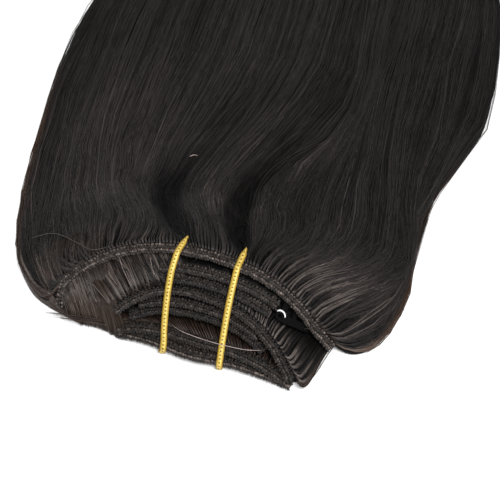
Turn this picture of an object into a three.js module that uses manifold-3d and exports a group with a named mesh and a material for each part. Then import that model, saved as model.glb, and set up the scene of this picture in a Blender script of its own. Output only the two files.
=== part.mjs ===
// A set of clip-in hair extensions, lying on a table as it is sold: eight wefts are laid on each
// other, and two flat twist ties hold their sewn headers together in a sheaf.
// Each weft is a sewn header band, the hair that hangs from it and one or two snap clips.
// Millimetres, +Z up. The hair runs along +Y. The origin is on the table, under the crown of the top
// weft's header.
import * as THREE from "three";
import { mergeVertices } from "three/addons/utils/BufferGeometryUtils.js";
import Module from "manifold-3d";

// Driving dimensions
const hairLength = 406; // from header to tip, a 16 inch set
const spreadWidth = 270; // what the outline's shares are of, about the hair's width half way along
const crownSpan = 140; // the top weft's header, measured straight from foot to foot
const sheafDepth = 39; // from the top weft's header forward to the lowest one
const headerWidth = 5.5;
const headerThickness = 2.2;
const clipWidth = 22;
const clipDepth = 11;
const clipThickness = 1.2;
const clipBar = 2.2; // the bars round a clip's slots
const clipTeeth = 2;
const clipEyelet = 2.7; // outer radius of the sewing eyelets
const tieWidth = 4;
const tieThickness = 0.8;
const tieReach = 5; // how far behind the top header a tie goes down into the hair
const tailLength = 14; // the twisted ends of a tie
const tailTurns = 1.5;
const mouthHeight = 4; // the open pocket between the second and third wefts
const mouthDepth = 34;
const tipThickness = 1.1; // of one weft's hair at its tips and side edges
const lockRelief = 1.2; // how deep the furrows between two locks are
const lockTip = 13; // how much further a lock's tip reaches than the furrow beside it
const joinLine = 50; // where the fanned roots have turned to run along +Y

// Named clearances
const rootGap = 0.4; // header to its own hair
const layerGap = 0.5; // hair of one weft to hair of the next
const clipGap = 0.3;
const tieGap = 0.3;
const tableGap = 0.2; // table to what is let into the underside

// What fits together takes its size from the values above
const layerThickness = headerThickness + clipThickness + 3 * clipGap;
const tieMiddle = -0.0125 * crownSpan;
const tieSpacing = clipWidth + tieWidth + 2 * (tieGap + clipBar);
const besideTie = (tieSpacing + tieWidth + clipWidth) / 2 + tieGap + clipGap;

// The wefts, lowest first. span and middle are shares of crownSpan, back is a share of sheafDepth,
// sag (how far the feet come forward) is a share of the weft's own span, skew is a slope, layer is
// a share of layerThickness, reach is a share of the spread, bulge (how far the roots fan past the
// header's feet) is a share of crownSpan, and droop (how far the outer roots hang forward on the left
// and the right) is a share of headerWidth. columns counts the strips across the hair. clips says where the snap clips are: one between the ties, one outside each
// tie, or one past each end of the header below.
const wefts = [
  { span: 0.66, middle: 0.035, back: -1, sag: 0.02, skew: -0.11, layer: 1.1, reach: 0.93, bulge: 0.07, droop: [0, 0],
    power: 1, columns: 14, clips: "outside" },
  { span: 0.65, middle: 0.025, back: -0.87, sag: 0.07, skew: -0.12, layer: 1, reach: 0.9, bulge: 0.08, droop: [0, 0],
    power: 1, columns: 14, clips: "outside" },
  { span: 0.51, middle: -0.01, back: -0.57, sag: 0.12, skew: -0.05, layer: 0.95, reach: 0.78, bulge: 0.06, droop: [0, 0],
    power: 1, columns: 10, clips: "between" },
  { span: 0.46, middle: -0.01, back: -0.51, sag: 0.09, skew: -0.05, layer: 0.95, reach: 0.78, bulge: 0.06, droop: [0, 0],
    power: 1, columns: 10, clips: "between" },
  { span: 0.67, middle: 0.025, back: -0.43, sag: 0.23, skew: -0.128, layer: 1.25, reach: 0.92, bulge: 0.1, droop: [0, 1.1],
    power: 1, columns: 16, clips: "outside" },
  { span: 0.4, middle: 0.035, back: -0.29, sag: 0.05, skew: -0.03, layer: 1, reach: 0.75, bulge: 0.05, droop: [0, 0],
    power: 1, columns: 10, clips: "between" },
  { span: 0.44, middle: 0.04, back: -0.18, sag: 0.05, skew: 0, layer: 1, reach: 0.78, bulge: 0.05, droop: [0, 0],
    power: 1, columns: 10, clips: "between" },
  { span: 1, middle: -0.025, back: 0, sag: 0.143, skew: 0, layer: 1.15, reach: 1, bulge: 0.2, droop: [2.2, 0.9],
    power: 0.6, columns: 32, clips: "past" },
].map((row, index) => ({ ...row, index, number: index + 1 }));
const mouthAbove = 1; // the open pocket lies on the hair of this weft of the table
const mouthSpan = 0.47; // a share of crownSpan
const archPower = 2.7; // how square the shoulders of a header's arch are

// The outline of all the hair. along is a share of hairLength, and left and right of spreadWidth.
const outline = [
  { along: -0.1, left: -0.345, right: 0.335 },
  { along: -0.05, left: -0.375, right: 0.342 },
  { along: 0, left: -0.42, right: 0.352 },
  { along: 0.05, left: -0.443, right: 0.361 },
  { along: 0.12, left: -0.466, right: 0.365 },
  { along: 0.22, left: -0.497, right: 0.378 },
  { along: 0.32, left: -0.527, right: 0.427 },
  { along: 0.41, left: -0.546, right: 0.45 },
  { along: 0.54, left: -0.56, right: 0.459 },
  { along: 0.69, left: -0.545, right: 0.457 },
  { along: 0.84, left: -0.497, right: 0.415 },
  { along: 1, left: -0.425, right: 0.341 },
];

// How far the hair of the wefts under the top one has turned out from its roots to its outline.
const fanning = [
  { along: -0.11, left: 0, right: 0 },
  { along: -0.08, left: 0.62, right: 0.02 },
  { along: -0.05, left: 1, right: 0.1 },
  { along: 0, left: 1, right: 0.4 },
  { along: 0.12, left: 1, right: 1 },
];

// How thick each weft's hair lies, as a share of its thickness at the header.
const settling = [
  { along: -0.1, share: 1 },
  { along: 0.02, share: 1 },
  { along: 0.1, share: 0.86 },
  { along: 0.25, share: 0.68 },
  { along: 0.5, share: 0.52 },
  { along: 0.75, share: 0.38 },
  { along: 1, share: 0.16 },
];

// A column of a table at a place along it, on a smooth curve through the rows.
function fromTable(rows, column, along) {
  const last = rows.length - 1;
  const t = THREE.MathUtils.clamp(along, rows[0].along, rows[last].along);
  let i = 0;
  while (i < last - 1 && rows[i + 1].along < t) i += 1;
  const slope = (k) => {
    const [a, b] = [rows[Math.max(k - 1, 0)], rows[Math.min(k + 1, last)]];
    return (b[column] - a[column]) / (b.along - a.along);
  };
  const width = rows[i + 1].along - rows[i].along;
  const s = (t - rows[i].along) / width;
  const [a, b] = [rows[i][column], rows[i + 1][column]];
  const ease = s * s * (3 - 2 * s);
  const rise = s * (1 - s) * ((1 - s) * slope(i) - s * slope(i + 1));
  return a + (b - a) * ease + rise * width;
}

// The half width and middle of a weft's hair at y: from its fanned roots out to the whole spread.
function lateral(weft, y) {
  const along = y / hairLength;
  const edges = ["left", "right"].map((side, i) => {
    const edge = fromTable(outline, side, along) * spreadWidth * weft.reach;
    if (weft.reach === 1) return edge;
    const root = (weft.middle + (2 * i - 1) * (weft.span / 2 + weft.bulge)) * crownSpan;
    return THREE.MathUtils.lerp(root, edge, fromTable(fanning, side, along));
  });
  return { middle: (edges[0] + edges[1]) / 2, half: (edges[1] - edges[0]) / 2 };
}

// The thickness that a weft's hair takes up in the pile, which fades out just past its side edges.
const edgeFade = 0.12;
function layerAt(weft, x, y) {
  const { middle, half } = lateral(weft, y);
  const side = Math.abs(x - middle) / half;
  if (side >= 1) return tipThickness * Math.max(0, 1 - (side - 1) / edgeFade);
  const full = weft.layer * layerThickness * fromTable(settling, "share", y / hairLength);
  return tipThickness + Math.max(0, full - tipThickness) * (1 - side * side) ** weft.power;
}

// The open pocket's height, which closes backwards and to both sides.
function mouthAt(x, y) {
  const side = (2 * x) / (mouthSpan * crownSpan);
  const closing = 1 - THREE.MathUtils.smoothstep(y, -sheafDepth, mouthDepth - sheafDepth);
  return side * side < 1 ? mouthHeight * (1 - side * side) * closing : 0;
}

// The top of the pile under a weft, at a point of the table.
function pileUnder(weft, x, y) {
  let height = 0;
  for (const lower of wefts.slice(0, weft.index)) {
    height += layerAt(lower, x, y);
    if (lower.index === mouthAbove) height += mouthAt(x, y);
  }
  return height;
}

// The middle line of a header seen from above, and the way that its hair leaves it.
function headerPlan(weft, u) {
  const half = (weft.span / 2) * crownSpan;
  const sag = weft.sag * weft.span * crownSpan;
  const x = weft.middle * crownSpan + u * half;
  const arch = Math.abs(u) ** archPower;
  const y = weft.back * sheafDepth + weft.skew * u * half - sag * arch;
  const slope = weft.skew - (sag * archPower * Math.sign(u) * Math.abs(u) ** (archPower - 1)) / half;
  const out = new THREE.Vector2(-slope, 1).normalize();
  return { x, y, out };
}

// The height of a header's middle, which lies at the top of its own layer.
function headerHeight(weft, x, y) {
  const lowest = headerThickness / 2 + layerGap;
  const high = layerAt(weft, x, y) - headerThickness / 2;
  return pileUnder(weft, x, y) + Math.max(high, lowest);
}

// A point of a header: u along it, across out to its back edge, and up from its middle.
function headerPoint(weft, u, across, up) {
  const { x, y, out } = headerPlan(weft, u);
  const [px, py] = [x + out.x * across, y + out.y * across];
  return new THREE.Vector3(px, py, headerHeight(weft, px, py) + up);
}

// A closed body from rings of points: each ring has the same count, and the ends are capped flat.
function loft(rings, closed = false) {
  const count = rings[0].length;
  const positions = rings.flat().flatMap((p) => [p.x, p.y, p.z]);
  const faces = [];
  const spans = closed ? rings.length : rings.length - 1;
  for (let i = 0; i < spans; i += 1) {
    const [a, b] = [i * count, ((i + 1) % rings.length) * count];
    for (let j = 0; j < count; j += 1) {
      const k = (j + 1) % count;
      faces.push(a + j, b + k, b + j, a + j, a + k, b + k);
    }
  }
  if (!closed) {
    const end = (rings.length - 1) * count;
    for (let j = 1; j < count - 1; j += 1) faces.push(0, j + 1, j, end, end + j, end + j + 1);
  }
  const geometry = new THREE.BufferGeometry();
  geometry.setAttribute("position", new THREE.Float32BufferAttribute(positions, 3));
  geometry.setIndex(faces);
  return geometry;
}

// The sewn header band of a weft, with its long edges chamfered.
function headerGeometry(weft) {
  const steps = weft.columns;
  const [w, h] = [headerWidth / 2, headerThickness / 2];
  const chamfer = headerThickness / 3;
  const section = [
    [-w, 0], [-w + chamfer, -h], [w - chamfer, -h], [w, 0], [w - chamfer, h], [-w + chamfer, h],
  ];
  const rings = [];
  for (let i = 0; i <= steps; i += 1) {
    const u = (2 * i) / steps - 1;
    rings.push(section.map(([across, up]) => headerPoint(weft, u, across, up)));
  }
  return loft(rings);
}

// Where a strand lies, seen from above. u runs across the weft, and t from the root (0) to the
// join line (1). The outer strands leave sideways and turn back along +Y.
const droopPeak = 256 / 27; // makes t (1 - t)^3 peak at 1
function rootPlan(weft, u, t) {
  const { x, y, out } = headerPlan(weft, u);
  const offset = headerWidth / 2 + rootGap;
  const [rootX, rootY] = [x + out.x * offset, y + out.y * offset];
  const fan = u * u;
  const hang = weft.droop[u < 0 ? 0 : 1] * headerWidth * fan * fan * fan;
  const droop = hang * droopPeak * t * (1 - t) ** 3;
  const py = rootY + (joinLine - rootY) * t ** (1 + fan) - droop;
  const start = lateral(weft, rootY);
  const startSide = (rootX - start.middle) / start.half;
  const side = startSide + (u - startSide) * (1 - (1 - t) ** (1 + 2 * fan));
  const here = lateral(weft, py);
  return { x: here.middle + here.half * side, y: py };
}

// The length of a strand's path from its root to the join line.
function rootLength(weft, u) {
  const steps = 12;
  let length = 0;
  let from = rootPlan(weft, u, 0);
  for (let i = 1; i <= steps; i += 1) {
    const to = rootPlan(weft, u, i / steps);
    length += Math.hypot(to.x - from.x, to.y - from.y);
    from = to;
  }
  return length;
}

// The hair of one weft: a sheet from its roots to its tips, lying in its own layer of the pile.
// Every second column is a furrow between two locks, and ends short of the locks' tips.
const rootRows = 7;
const puffLength = 9; // over which the hair swells from the header's thickness to its layer's
function hairGeometry(weft) {
  const tipRows = 7;
  const rows = rootRows + tipRows;
  const grid = [];
  for (let j = 0; j <= weft.columns; j += 1) {
    const u = (2 * j) / weft.columns - 1;
    const inFurrow = j % 2 === 0;
    const end = joinLine + hairLength - rootLength(weft, u) - (inFurrow ? lockTip : 0);
    const column = [];
    for (let i = 0; i <= rows; i += 1) {
      const t = Math.min(1, i / rootRows) ** 1.4;
      const point = rootPlan(weft, u, t);
      if (i > rootRows) {
        point.y = THREE.MathUtils.lerp(joinLine, end, (i - rootRows) / tipRows);
        const { middle, half } = lateral(weft, point.y);
        point.x = middle + half * u;
      }
      const run = (i / rootRows) ** 1.4 * joinLine;
      const puff = THREE.MathUtils.smoothstep(run, 0, puffLength);
      const floor = pileUnder(weft, point.x, point.y);
      const thick = layerAt(weft, point.x, point.y);
      const middle = headerHeight(weft, point.x, point.y);
      const relief = inFurrow ? lockRelief * puff * Math.min(1, thick / layerThickness) : 0;
      const base = floor + (weft.index ? layerGap / 2 : 0);
      column.push({
        top: new THREE.Vector3(
          point.x, point.y,
          THREE.MathUtils.lerp(middle + headerThickness / 2, floor + thick - layerGap / 2, puff) - relief,
        ),
        bottom: new THREE.Vector3(
          point.x, point.y,
          weft.index ? THREE.MathUtils.lerp(middle - headerThickness / 2, base, puff) : 0,
        ),
      });
    }
    grid.push(column);
  }
  return sheet(grid);
}

// A closed sheet from a grid of columns, each holding a top and a bottom point for every row.
function sheet(grid) {
  const [columns, rows] = [grid.length, grid[0].length];
  const positions = ["top", "bottom"].flatMap((side) =>
    grid.flatMap((column) => column.flatMap((point) => point[side].toArray())),
  );
  const at = (side, j, i) => side * columns * rows + j * rows + i;
  const faces = [];
  const quad = (a, b, c, d) => faces.push(a, b, c, a, c, d);
  for (let j = 0; j < columns - 1; j += 1) {
    for (let i = 0; i < rows - 1; i += 1) {
      quad(at(0, j, i), at(0, j + 1, i), at(0, j + 1, i + 1), at(0, j, i + 1));
      quad(at(1, j, i), at(1, j, i + 1), at(1, j + 1, i + 1), at(1, j + 1, i));
    }
    quad(at(1, j, 0), at(1, j + 1, 0), at(0, j + 1, 0), at(0, j, 0));
    quad(at(0, j, rows - 1), at(0, j + 1, rows - 1), at(1, j + 1, rows - 1), at(1, j, rows - 1));
  }
  for (let i = 0; i < rows - 1; i += 1) {
    const last = columns - 1;
    quad(at(1, 0, i), at(0, 0, i), at(0, 0, i + 1), at(1, 0, i + 1));
    quad(at(0, last, i), at(1, last, i), at(1, last, i + 1), at(0, last, i + 1));
  }
  const geometry = new THREE.BufferGeometry();
  geometry.setAttribute("position", new THREE.Float32BufferAttribute(positions, 3));
  geometry.setIndex(faces);
  return geometry;
}

const wasm = await Module();
wasm.setup();

// A closed geometry as a solid that can be cut, and back.
function solidFrom(geometry) {
  const bare = geometry.clone();
  bare.deleteAttribute("normal");
  bare.deleteAttribute("uv");
  const merged = mergeVertices(bare, 1e-4);
  return new wasm.Manifold(
    new wasm.Mesh({
      numProp: 3,
      vertProperties: merged.attributes.position.array,
      triVerts: new Uint32Array(merged.index.array),
    }),
  );
}

function geometryFrom(solid) {
  const { vertProperties, triVerts } = solid.getMesh();
  const geometry = new THREE.BufferGeometry();
  geometry.setAttribute("position", new THREE.BufferAttribute(vertProperties, 3));
  geometry.setIndex(new THREE.BufferAttribute(triVerts, 1));
  return geometry;
}

// The convex outline round points given as [y, z], counter-clockwise.
function hull(points) {
  const sorted = [...points].sort((a, b) => a[0] - b[0] || a[1] - b[1]);
  const turn = (o, a, b) => (a[0] - o[0]) * (b[1] - o[1]) - (a[1] - o[1]) * (b[0] - o[0]);
  const chain = (list) => {
    const kept = [];
    for (const p of list) {
      while (kept.length > 1 && turn(kept[kept.length - 2], kept[kept.length - 1], p) <= 0) kept.pop();
      kept.push(p);
    }
    return kept.slice(0, -1);
  };
  return [...chain(sorted), ...chain(sorted.reverse())];
}

// The loop of a tie in the plane across the wefts: round every header that it crosses, down through
// the hair behind the top header, and forward along the table. Each corner is a short arc.
const tieCorner = 2; // arc steps at each corner
function tieLoop(x) {
  const corners = [];
  for (const weft of wefts) {
    const half = (weft.span / 2) * crownSpan;
    for (const edge of [-tieWidth / 2, tieWidth / 2]) {
      const u = (x + edge - weft.middle * crownSpan) / half;
      if (Math.abs(u) > 1) continue;
      for (const across of [-headerWidth / 2, headerWidth / 2]) {
        for (const up of [-headerThickness / 2, headerThickness / 2]) {
          const p = headerPoint(weft, u, across, up);
          corners.push([p.y, p.z]);
        }
      }
    }
  }
  const back = Math.max(...corners.map(([y]) => y)) + tieReach;
  const inset = tableGap + tieThickness + tieGap;
  corners.push([back, Math.max(...corners.map(([, z]) => z))]);
  corners.push([back, inset], [Math.min(...corners.map(([y]) => y)), inset]);
  const outer = hull(corners);
  const reach = tieGap + tieThickness / 2;
  const loop = [];
  outer.forEach((p, i) => {
    const [before, after] = [outer.at(i - 1), outer[(i + 1) % outer.length]];
    const from = Math.atan2(-(p[0] - before[0]), p[1] - before[1]);
    let to = Math.atan2(-(after[0] - p[0]), after[1] - p[1]);
    if (to < from) to += 2 * Math.PI;
    for (let s = 0; s <= tieCorner; s += 1) {
      const angle = from + ((to - from) * s) / tieCorner;
      const [ny, nz] = [Math.cos(angle), Math.sin(angle)];
      loop.push({ y: p[0] + ny * reach, z: p[1] + nz * reach, ny, nz });
    }
  });
  return loop.filter((p, i) => {
    const q = loop.at(i - 1);
    return Math.hypot(p.y - q.y, p.z - q.z) > tieGap / 2;
  });
}

// A band of a given width and thickness round a tie's loop.
function tieRing(x, loop, width, thickness) {
  const rings = loop.map(({ y, z, ny, nz }) =>
    [[-1, -1], [1, -1], [1, 1], [-1, 1]].map(
      ([side, face]) =>
        new THREE.Vector3(
          x + (side * width) / 2,
          y + (face * ny * thickness) / 2,
          z + (face * nz * thickness) / 2,
        ),
    ),
  );
  return loft(rings, true);
}

// The twisted ends of a tie, which lie in the underside of the hair and point back.
const tailSteps = 12;
function tailGeometry(x, loop, play) {
  const start = Math.max(...loop.map(({ y }) => y)) - tieThickness;
  const width = tieWidth * 0.55;
  const thickness = tieThickness * 1.6;
  const middle = tableGap + width / 2;
  const rings = [];
  for (let i = 0; i <= tailSteps; i += 1) {
    const share = i / tailSteps;
    const angle = play ? 0 : share * tailTurns * Math.PI;
    const [w, h] = play ? [width / 2 + play, width / 2 + play] : [width / 2, thickness / 2];
    rings.push(
      [[-w, -h], [w, -h], [w, h], [-w, h]].map(([a, b]) => {
        const [dx, dz] = [a * Math.cos(angle) - b * Math.sin(angle), a * Math.sin(angle) + b * Math.cos(angle)];
        return new THREE.Vector3(x + dx, start + share * (tailLength + play), middle + dz);
      }),
    );
  }
  return loft(rings.reverse());
}

// A snap clip: a flat frame with slots between its teeth and an eyelet at each end to sew it on by.
function clipGeometry() {
  const [w, d, r] = [clipWidth / 2, clipDepth, clipEyelet];
  const shape = new THREE.Shape();
  shape.moveTo(-w + r, r);
  shape.absarc(-w + r, 0, r, Math.PI / 2, (3 * Math.PI) / 2, false);
  shape.lineTo(w - r, -r);
  shape.absarc(w - r, 0, r, -Math.PI / 2, Math.PI / 2, false);
  shape.lineTo(w - r - clipBar / 2, d - r);
  shape.lineTo(-w + r + clipBar / 2, d - r);
  let frame = solidFrom(
    new THREE.ExtrudeGeometry(shape, { depth: clipThickness, bevelEnabled: false, curveSegments: 2 }),
  );
  const inside = clipWidth - 2 * (r + clipBar);
  const pitch = inside / clipTeeth;
  const slotDepth = d - r - clipBar - r / 2;
  for (let i = 0; i < clipTeeth; i += 1) {
    const slot = new THREE.BoxGeometry(pitch * 0.6, slotDepth, clipThickness * 3);
    slot.translate(-inside / 2 + pitch * (i + 0.5), (r + slotDepth) / 2, 0);
    frame = frame.subtract(solidFrom(slot));
  }
  for (const side of [-1, 1]) {
    const hole = new THREE.CylinderGeometry(r / 2, r / 2, clipThickness * 3, 6);
    hole.rotateX(Math.PI / 2).translate(side * (w - r), 0, 0);
    frame = frame.subtract(solidFrom(hole));
  }
  return geometryFrom(frame);
}

// The clips of a weft: each one's name's end, its place, its slip forward as a share of clipDepth (0
// lies behind the header, any other under it) and its turn in degrees.
function clipsOf(weft) {
  if (weft.clips === "between") return [{ end: "", x: tieMiddle, slip: 0, turn: 0 }];
  if (weft.clips === "outside") {
    return [
      { end: "_left", x: tieMiddle - besideTie, slip: 0, turn: 0 },
      { end: "_right", x: tieMiddle + besideTie, slip: 0, turn: 0 },
    ];
  }
  const below = wefts[weft.index - 1];
  const [left, right] = [-1, 1].map((side) => (below.middle + (side * below.span) / 2) * crownSpan);
  return [
    { end: "_left", x: left - 1.2 * clipWidth, slip: 0.1, turn: 0 },
    { end: "_right", x: right + 0.6 * clipWidth, slip: 0.8, turn: 32 },
  ];
}

// A clip's place: flat behind its header in the underside of the hair, or slipped forward under it.
function clipMatrix(weft, clip) {
  const half = (weft.span / 2) * crownSpan;
  const u = (clip.x - weft.middle * crownSpan) / half;
  const across = clip.slip ? clipEyelet - clip.slip * clipDepth : headerWidth / 2 + clipGap + clipEyelet;
  const drop = clip.slip ? clipGap + 2 * clipThickness : 0;
  const step = clipEyelet;
  const along = headerPoint(weft, u + step / half, across, 0)
    .sub(headerPoint(weft, u - step / half, across, 0))
    .normalize();
  const back = headerPoint(weft, u, across + step, 0).sub(headerPoint(weft, u, across - step, 0));
  const up = new THREE.Vector3().crossVectors(along, back).normalize();
  back.crossVectors(up, along);
  const origin = headerPoint(weft, u, across, 0).addScaledVector(up, -headerThickness / 2 - drop);
  const turn = new THREE.Matrix4().makeRotationZ(THREE.MathUtils.degToRad(clip.turn));
  return new THREE.Matrix4().makeBasis(along, back, up).setPosition(origin).multiply(turn);
}

// Materials: near-black brown hair, its sewn bands, black spring steel, and golden foil ties
const hairMaterial = new THREE.MeshStandardMaterial({ color: 0x1b1512, roughness: 0.5, metalness: 0 });
const headerMaterial = new THREE.MeshStandardMaterial({ color: 0x2a2320, roughness: 0.85, metalness: 0 });
const clipMaterial = new THREE.MeshStandardMaterial({ color: 0x141416, roughness: 0.35, metalness: 0.9 });
const tieMaterial = new THREE.MeshStandardMaterial({ color: 0xe8b93a, roughness: 0.4, metalness: 0.3 });

function named(name, geometry, material) {
  geometry.computeVertexNormals();
  const mesh = new THREE.Mesh(geometry, material);
  mesh.name = name;
  return mesh;
}

const set = new THREE.Group();
const cutters = [];
const roomHeight = 0.75 * layerThickness + clipThickness + clipGap;

// The two ties, each a loop with its twisted ends
for (const [side, end] of [[-1, "left"], [1, "right"]]) {
  const x = tieMiddle + (side * tieSpacing) / 2;
  const loop = tieLoop(x);
  const ring = solidFrom(tieRing(x, loop, tieWidth, tieThickness));
  const tie = ring.add(solidFrom(tailGeometry(x, loop, 0)));
  set.add(named(`tie_${end}`, geometryFrom(tie), tieMaterial));
  cutters.push(solidFrom(tieRing(x, loop, tieWidth + 2 * tieGap, tieThickness + 2 * tieGap)));
  cutters.push(solidFrom(tailGeometry(x, loop, tieGap)));
}

// The clips, each with the room that it takes in the hair around it
for (const weft of wefts) {
  for (const clip of clipsOf(weft)) {
    const matrix = clipMatrix(weft, clip);
    const mesh = named(`clip_${weft.number}${clip.end}`, clipGeometry(), clipMaterial);
    mesh.applyMatrix4(matrix);
    set.add(mesh);
    const room = new THREE.BoxGeometry(clipWidth + 2 * clipGap, clipDepth + 2 * clipGap, roomHeight);
    room.translate(0, clipDepth / 2 - clipEyelet, clipThickness + clipGap - roomHeight / 2);
    cutters.push(solidFrom(room.applyMatrix4(matrix)));
  }
}

// The wefts. The scraps that the cuts in the hair leave loose are dropped.
for (const weft of wefts) {
  set.add(named(`header_${weft.number}`, headerGeometry(weft), headerMaterial));
  const cut = cutters.reduce((left, cutter) => left.subtract(cutter), solidFrom(hairGeometry(weft)));
  const [hair] = cut.decompose().sort((a, b) => b.volume() - a.volume());
  set.add(named(`hair_${weft.number}`, geometryFrom(hair), hairMaterial));
}

export default set;
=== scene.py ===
"""A sheaf of clip-in hair wefts: hair sheets, strands, knotted headers, snap clips and foil ties."""

import math

import bpy
import numpy as np
from mathutils import Matrix, Vector


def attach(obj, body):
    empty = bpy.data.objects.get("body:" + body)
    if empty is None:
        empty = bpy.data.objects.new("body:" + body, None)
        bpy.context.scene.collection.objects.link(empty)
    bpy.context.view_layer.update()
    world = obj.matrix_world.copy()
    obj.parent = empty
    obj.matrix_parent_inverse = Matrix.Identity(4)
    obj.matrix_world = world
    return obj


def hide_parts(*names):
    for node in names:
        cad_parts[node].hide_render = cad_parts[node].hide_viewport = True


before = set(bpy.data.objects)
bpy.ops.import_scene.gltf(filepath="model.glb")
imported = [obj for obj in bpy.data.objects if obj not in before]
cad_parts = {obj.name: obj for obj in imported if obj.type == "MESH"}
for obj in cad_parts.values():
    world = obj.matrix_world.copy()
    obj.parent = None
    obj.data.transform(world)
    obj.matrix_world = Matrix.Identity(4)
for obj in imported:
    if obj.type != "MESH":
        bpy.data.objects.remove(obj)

bl_info = {
    "name": "Clip-In Hair Wefts",
    "version": (1, 0, 0),
    "blender": (4, 5, 0),
    "location": "View3D > Sidebar > Hair Wefts",
    "description": "Builds a tied sheaf of clip-in hair wefts",
    "category": "Object",
}

# The wefts, lowest first. span, middle and bulge are shares of the crown's span, back is a share of
# the sheaf's depth, sag is a share of the weft's own span, skew is a slope, layer is a share of a
# layer's thickness, reach is a share of the spread, and droop is a share of the header's width.
WEFTS = [
    dict(span=0.66, middle=0.035, back=-1, sag=0.02, skew=-0.11, layer=1.1, reach=0.93, bulge=0.07,
         droop=(0, 0), power=1, clips="outside", bow=3.2),
    dict(span=0.65, middle=0.025, back=-0.87, sag=0.07, skew=-0.12, layer=1, reach=0.9, bulge=0.08,
         droop=(0, 0), power=1, clips="outside", bow=1.4),
    dict(span=0.51, middle=-0.01, back=-0.57, sag=0.12, skew=-0.05, layer=0.95, reach=0.78, bulge=0.06,
         droop=(0, 0), power=1, clips="between"),
    dict(span=0.46, middle=-0.01, back=-0.51, sag=0.09, skew=-0.05, layer=0.95, reach=0.78, bulge=0.06,
         droop=(0, 0), power=1, clips="between"),
    dict(span=0.67, middle=0.025, back=-0.43, sag=0.23, skew=-0.128, layer=1.25, reach=0.92, bulge=0.1,
         droop=(0, 1.1), power=1, clips="outside"),
    dict(span=0.4, middle=0.035, back=-0.29, sag=0.05, skew=-0.03, layer=1, reach=0.75, bulge=0.05,
         droop=(0, 0), power=1, clips="between"),
    dict(span=0.44, middle=0.04, back=-0.18, sag=0.05, skew=0, layer=1, reach=0.78, bulge=0.05,
         droop=(0, 0), power=1, clips="between"),
    dict(span=1, middle=-0.025, back=0, sag=0.143, skew=0, layer=1.15, reach=1, bulge=0.2,
         droop=(1.9, 0.35), power=0.6, clips="past"),
]
TOP = len(WEFTS) - 1
WIDE_ARCH = 4
MOUTH_ABOVE = 1

# The tone of each header's rows of stitches, from its root edge to its front edge: painted light and shade,
# with darker copies of the thread for rows that lie in shade and a brighter copy for the crown rows that
# catch the light.
ROW_TONES = (
    ("thread", "shaded", "crown", "thread"),
    ("deep_shade", "shaded", "thread", "shaded"),
    ("deep_shade", "shaded", "shaded", "deep_shade"),
    ("thread", "shaded", "thread", "shaded"),
    ("deep_shade", "shaded", "thread", "shaded"),
    ("thread", "shaded", "shaded", "deep_shade"),
    ("thread", "shaded", "thread", "shaded"),
    ("crown", "thread", "crown", "thread"),
)

# How a tie is bent over the pile, in millimetres: bow, shift and lean sideways, and the tip's reach.
TIE_SHAPE = {"left": (2.7, 1.4, 0.2, 0.3), "right": (1.0, 0.4, 0.5, 2.6)}

# The outline of all the hair: along is a share of its length, left and right of its spread.
OUTLINE = [
    dict(along=-0.1, left=-0.345, right=0.335),
    dict(along=-0.05, left=-0.375, right=0.342),
    dict(along=0, left=-0.42, right=0.352),
    dict(along=0.05, left=-0.443, right=0.361),
    dict(along=0.12, left=-0.473, right=0.365),
    dict(along=0.22, left=-0.501, right=0.37),
    dict(along=0.32, left=-0.528, right=0.418),
    dict(along=0.41, left=-0.546, right=0.458),
    dict(along=0.54, left=-0.56, right=0.466),
    dict(along=0.69, left=-0.545, right=0.457),
    dict(along=0.84, left=-0.497, right=0.415),
    dict(along=1, left=-0.425, right=0.341),
]
FANNING = [
    dict(along=-0.11, left=0, right=0),
    dict(along=-0.08, left=0.62, right=0.02),
    dict(along=-0.05, left=1, right=0.1),
    dict(along=0, left=1, right=0.4),
    dict(along=0.12, left=1, right=1),
]
SETTLING = [
    dict(along=-0.1, share=1),
    dict(along=0.02, share=1),
    dict(along=0.1, share=0.86),
    dict(along=0.25, share=0.68),
    dict(along=0.5, share=0.52),
    dict(along=0.75, share=0.38),
    dict(along=1, share=0.16),
]
# How far the top weft's hair is swept sideways, in millimetres: y down the rows, SWEEP_ACROSS
# (shares of the half width) along them.
SWEEP_ACROSS = (-1, -0.9, -0.74, -0.56, -0.35, -0.2, 0, 0.2, 0.3, 0.44, 0.56, 0.7, 0.82, 1)
SWEEP = [
    (-20, (0, 0, 0, 0, 0, 0, 0, 0, 0, 0, 0, 0, 0, 0)),
    (5, (0, 5, 7, 6, 2, 0, 0, 0, 0, 0, 0, 0, 0, 0)),
    (15, (0, 8, 12, 12, 4, -3, -1, -2, -1, 1, 2, 3, 4, 0)),
    (25, (0, 10, 16, 15, 5, -6, -3, -7, -3, 4, 7, 9, 11, 0)),
    (40, (0, 11, 18, 15, 6, -8, -6, -12, -7, 7, 12, 16, 17, 0)),
    (55, (0, 10, 17, 15, 8, -5, -5, -12, -10, 8, 14, 18, 18, 0)),
    (75, (0, 9, 15, 14, 10, 2, -1, -8, -7, 9, 14, 17, 15, 0)),
    (100, (0, 8, 13, 13, 12, 8, 5, -1, 4, 10, 11, 11, 9, 0)),
    (130, (0, 8, 12, 12, 15, 13, 10, 3, 11, 9, 2, -1, -1, 0)),
    (165, (0, 9, 13, 14, 17, 16, 13, 7, 12, 5, -5, -9, -7, 0)),
    (220, (0, 8, 12, 13, 16, 15, 12, 8, 9, 1, -6, -10, -8, 0)),
    (300, (0, 4, 6, 7, 8, 8, 6, 4, 5, 0, -3, -5, -4, 0)),
    (420, (0, 0, 0, 0, 0, 0, 0, 0, 0, 0, 0, 0, 0, 0)),
]

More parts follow.
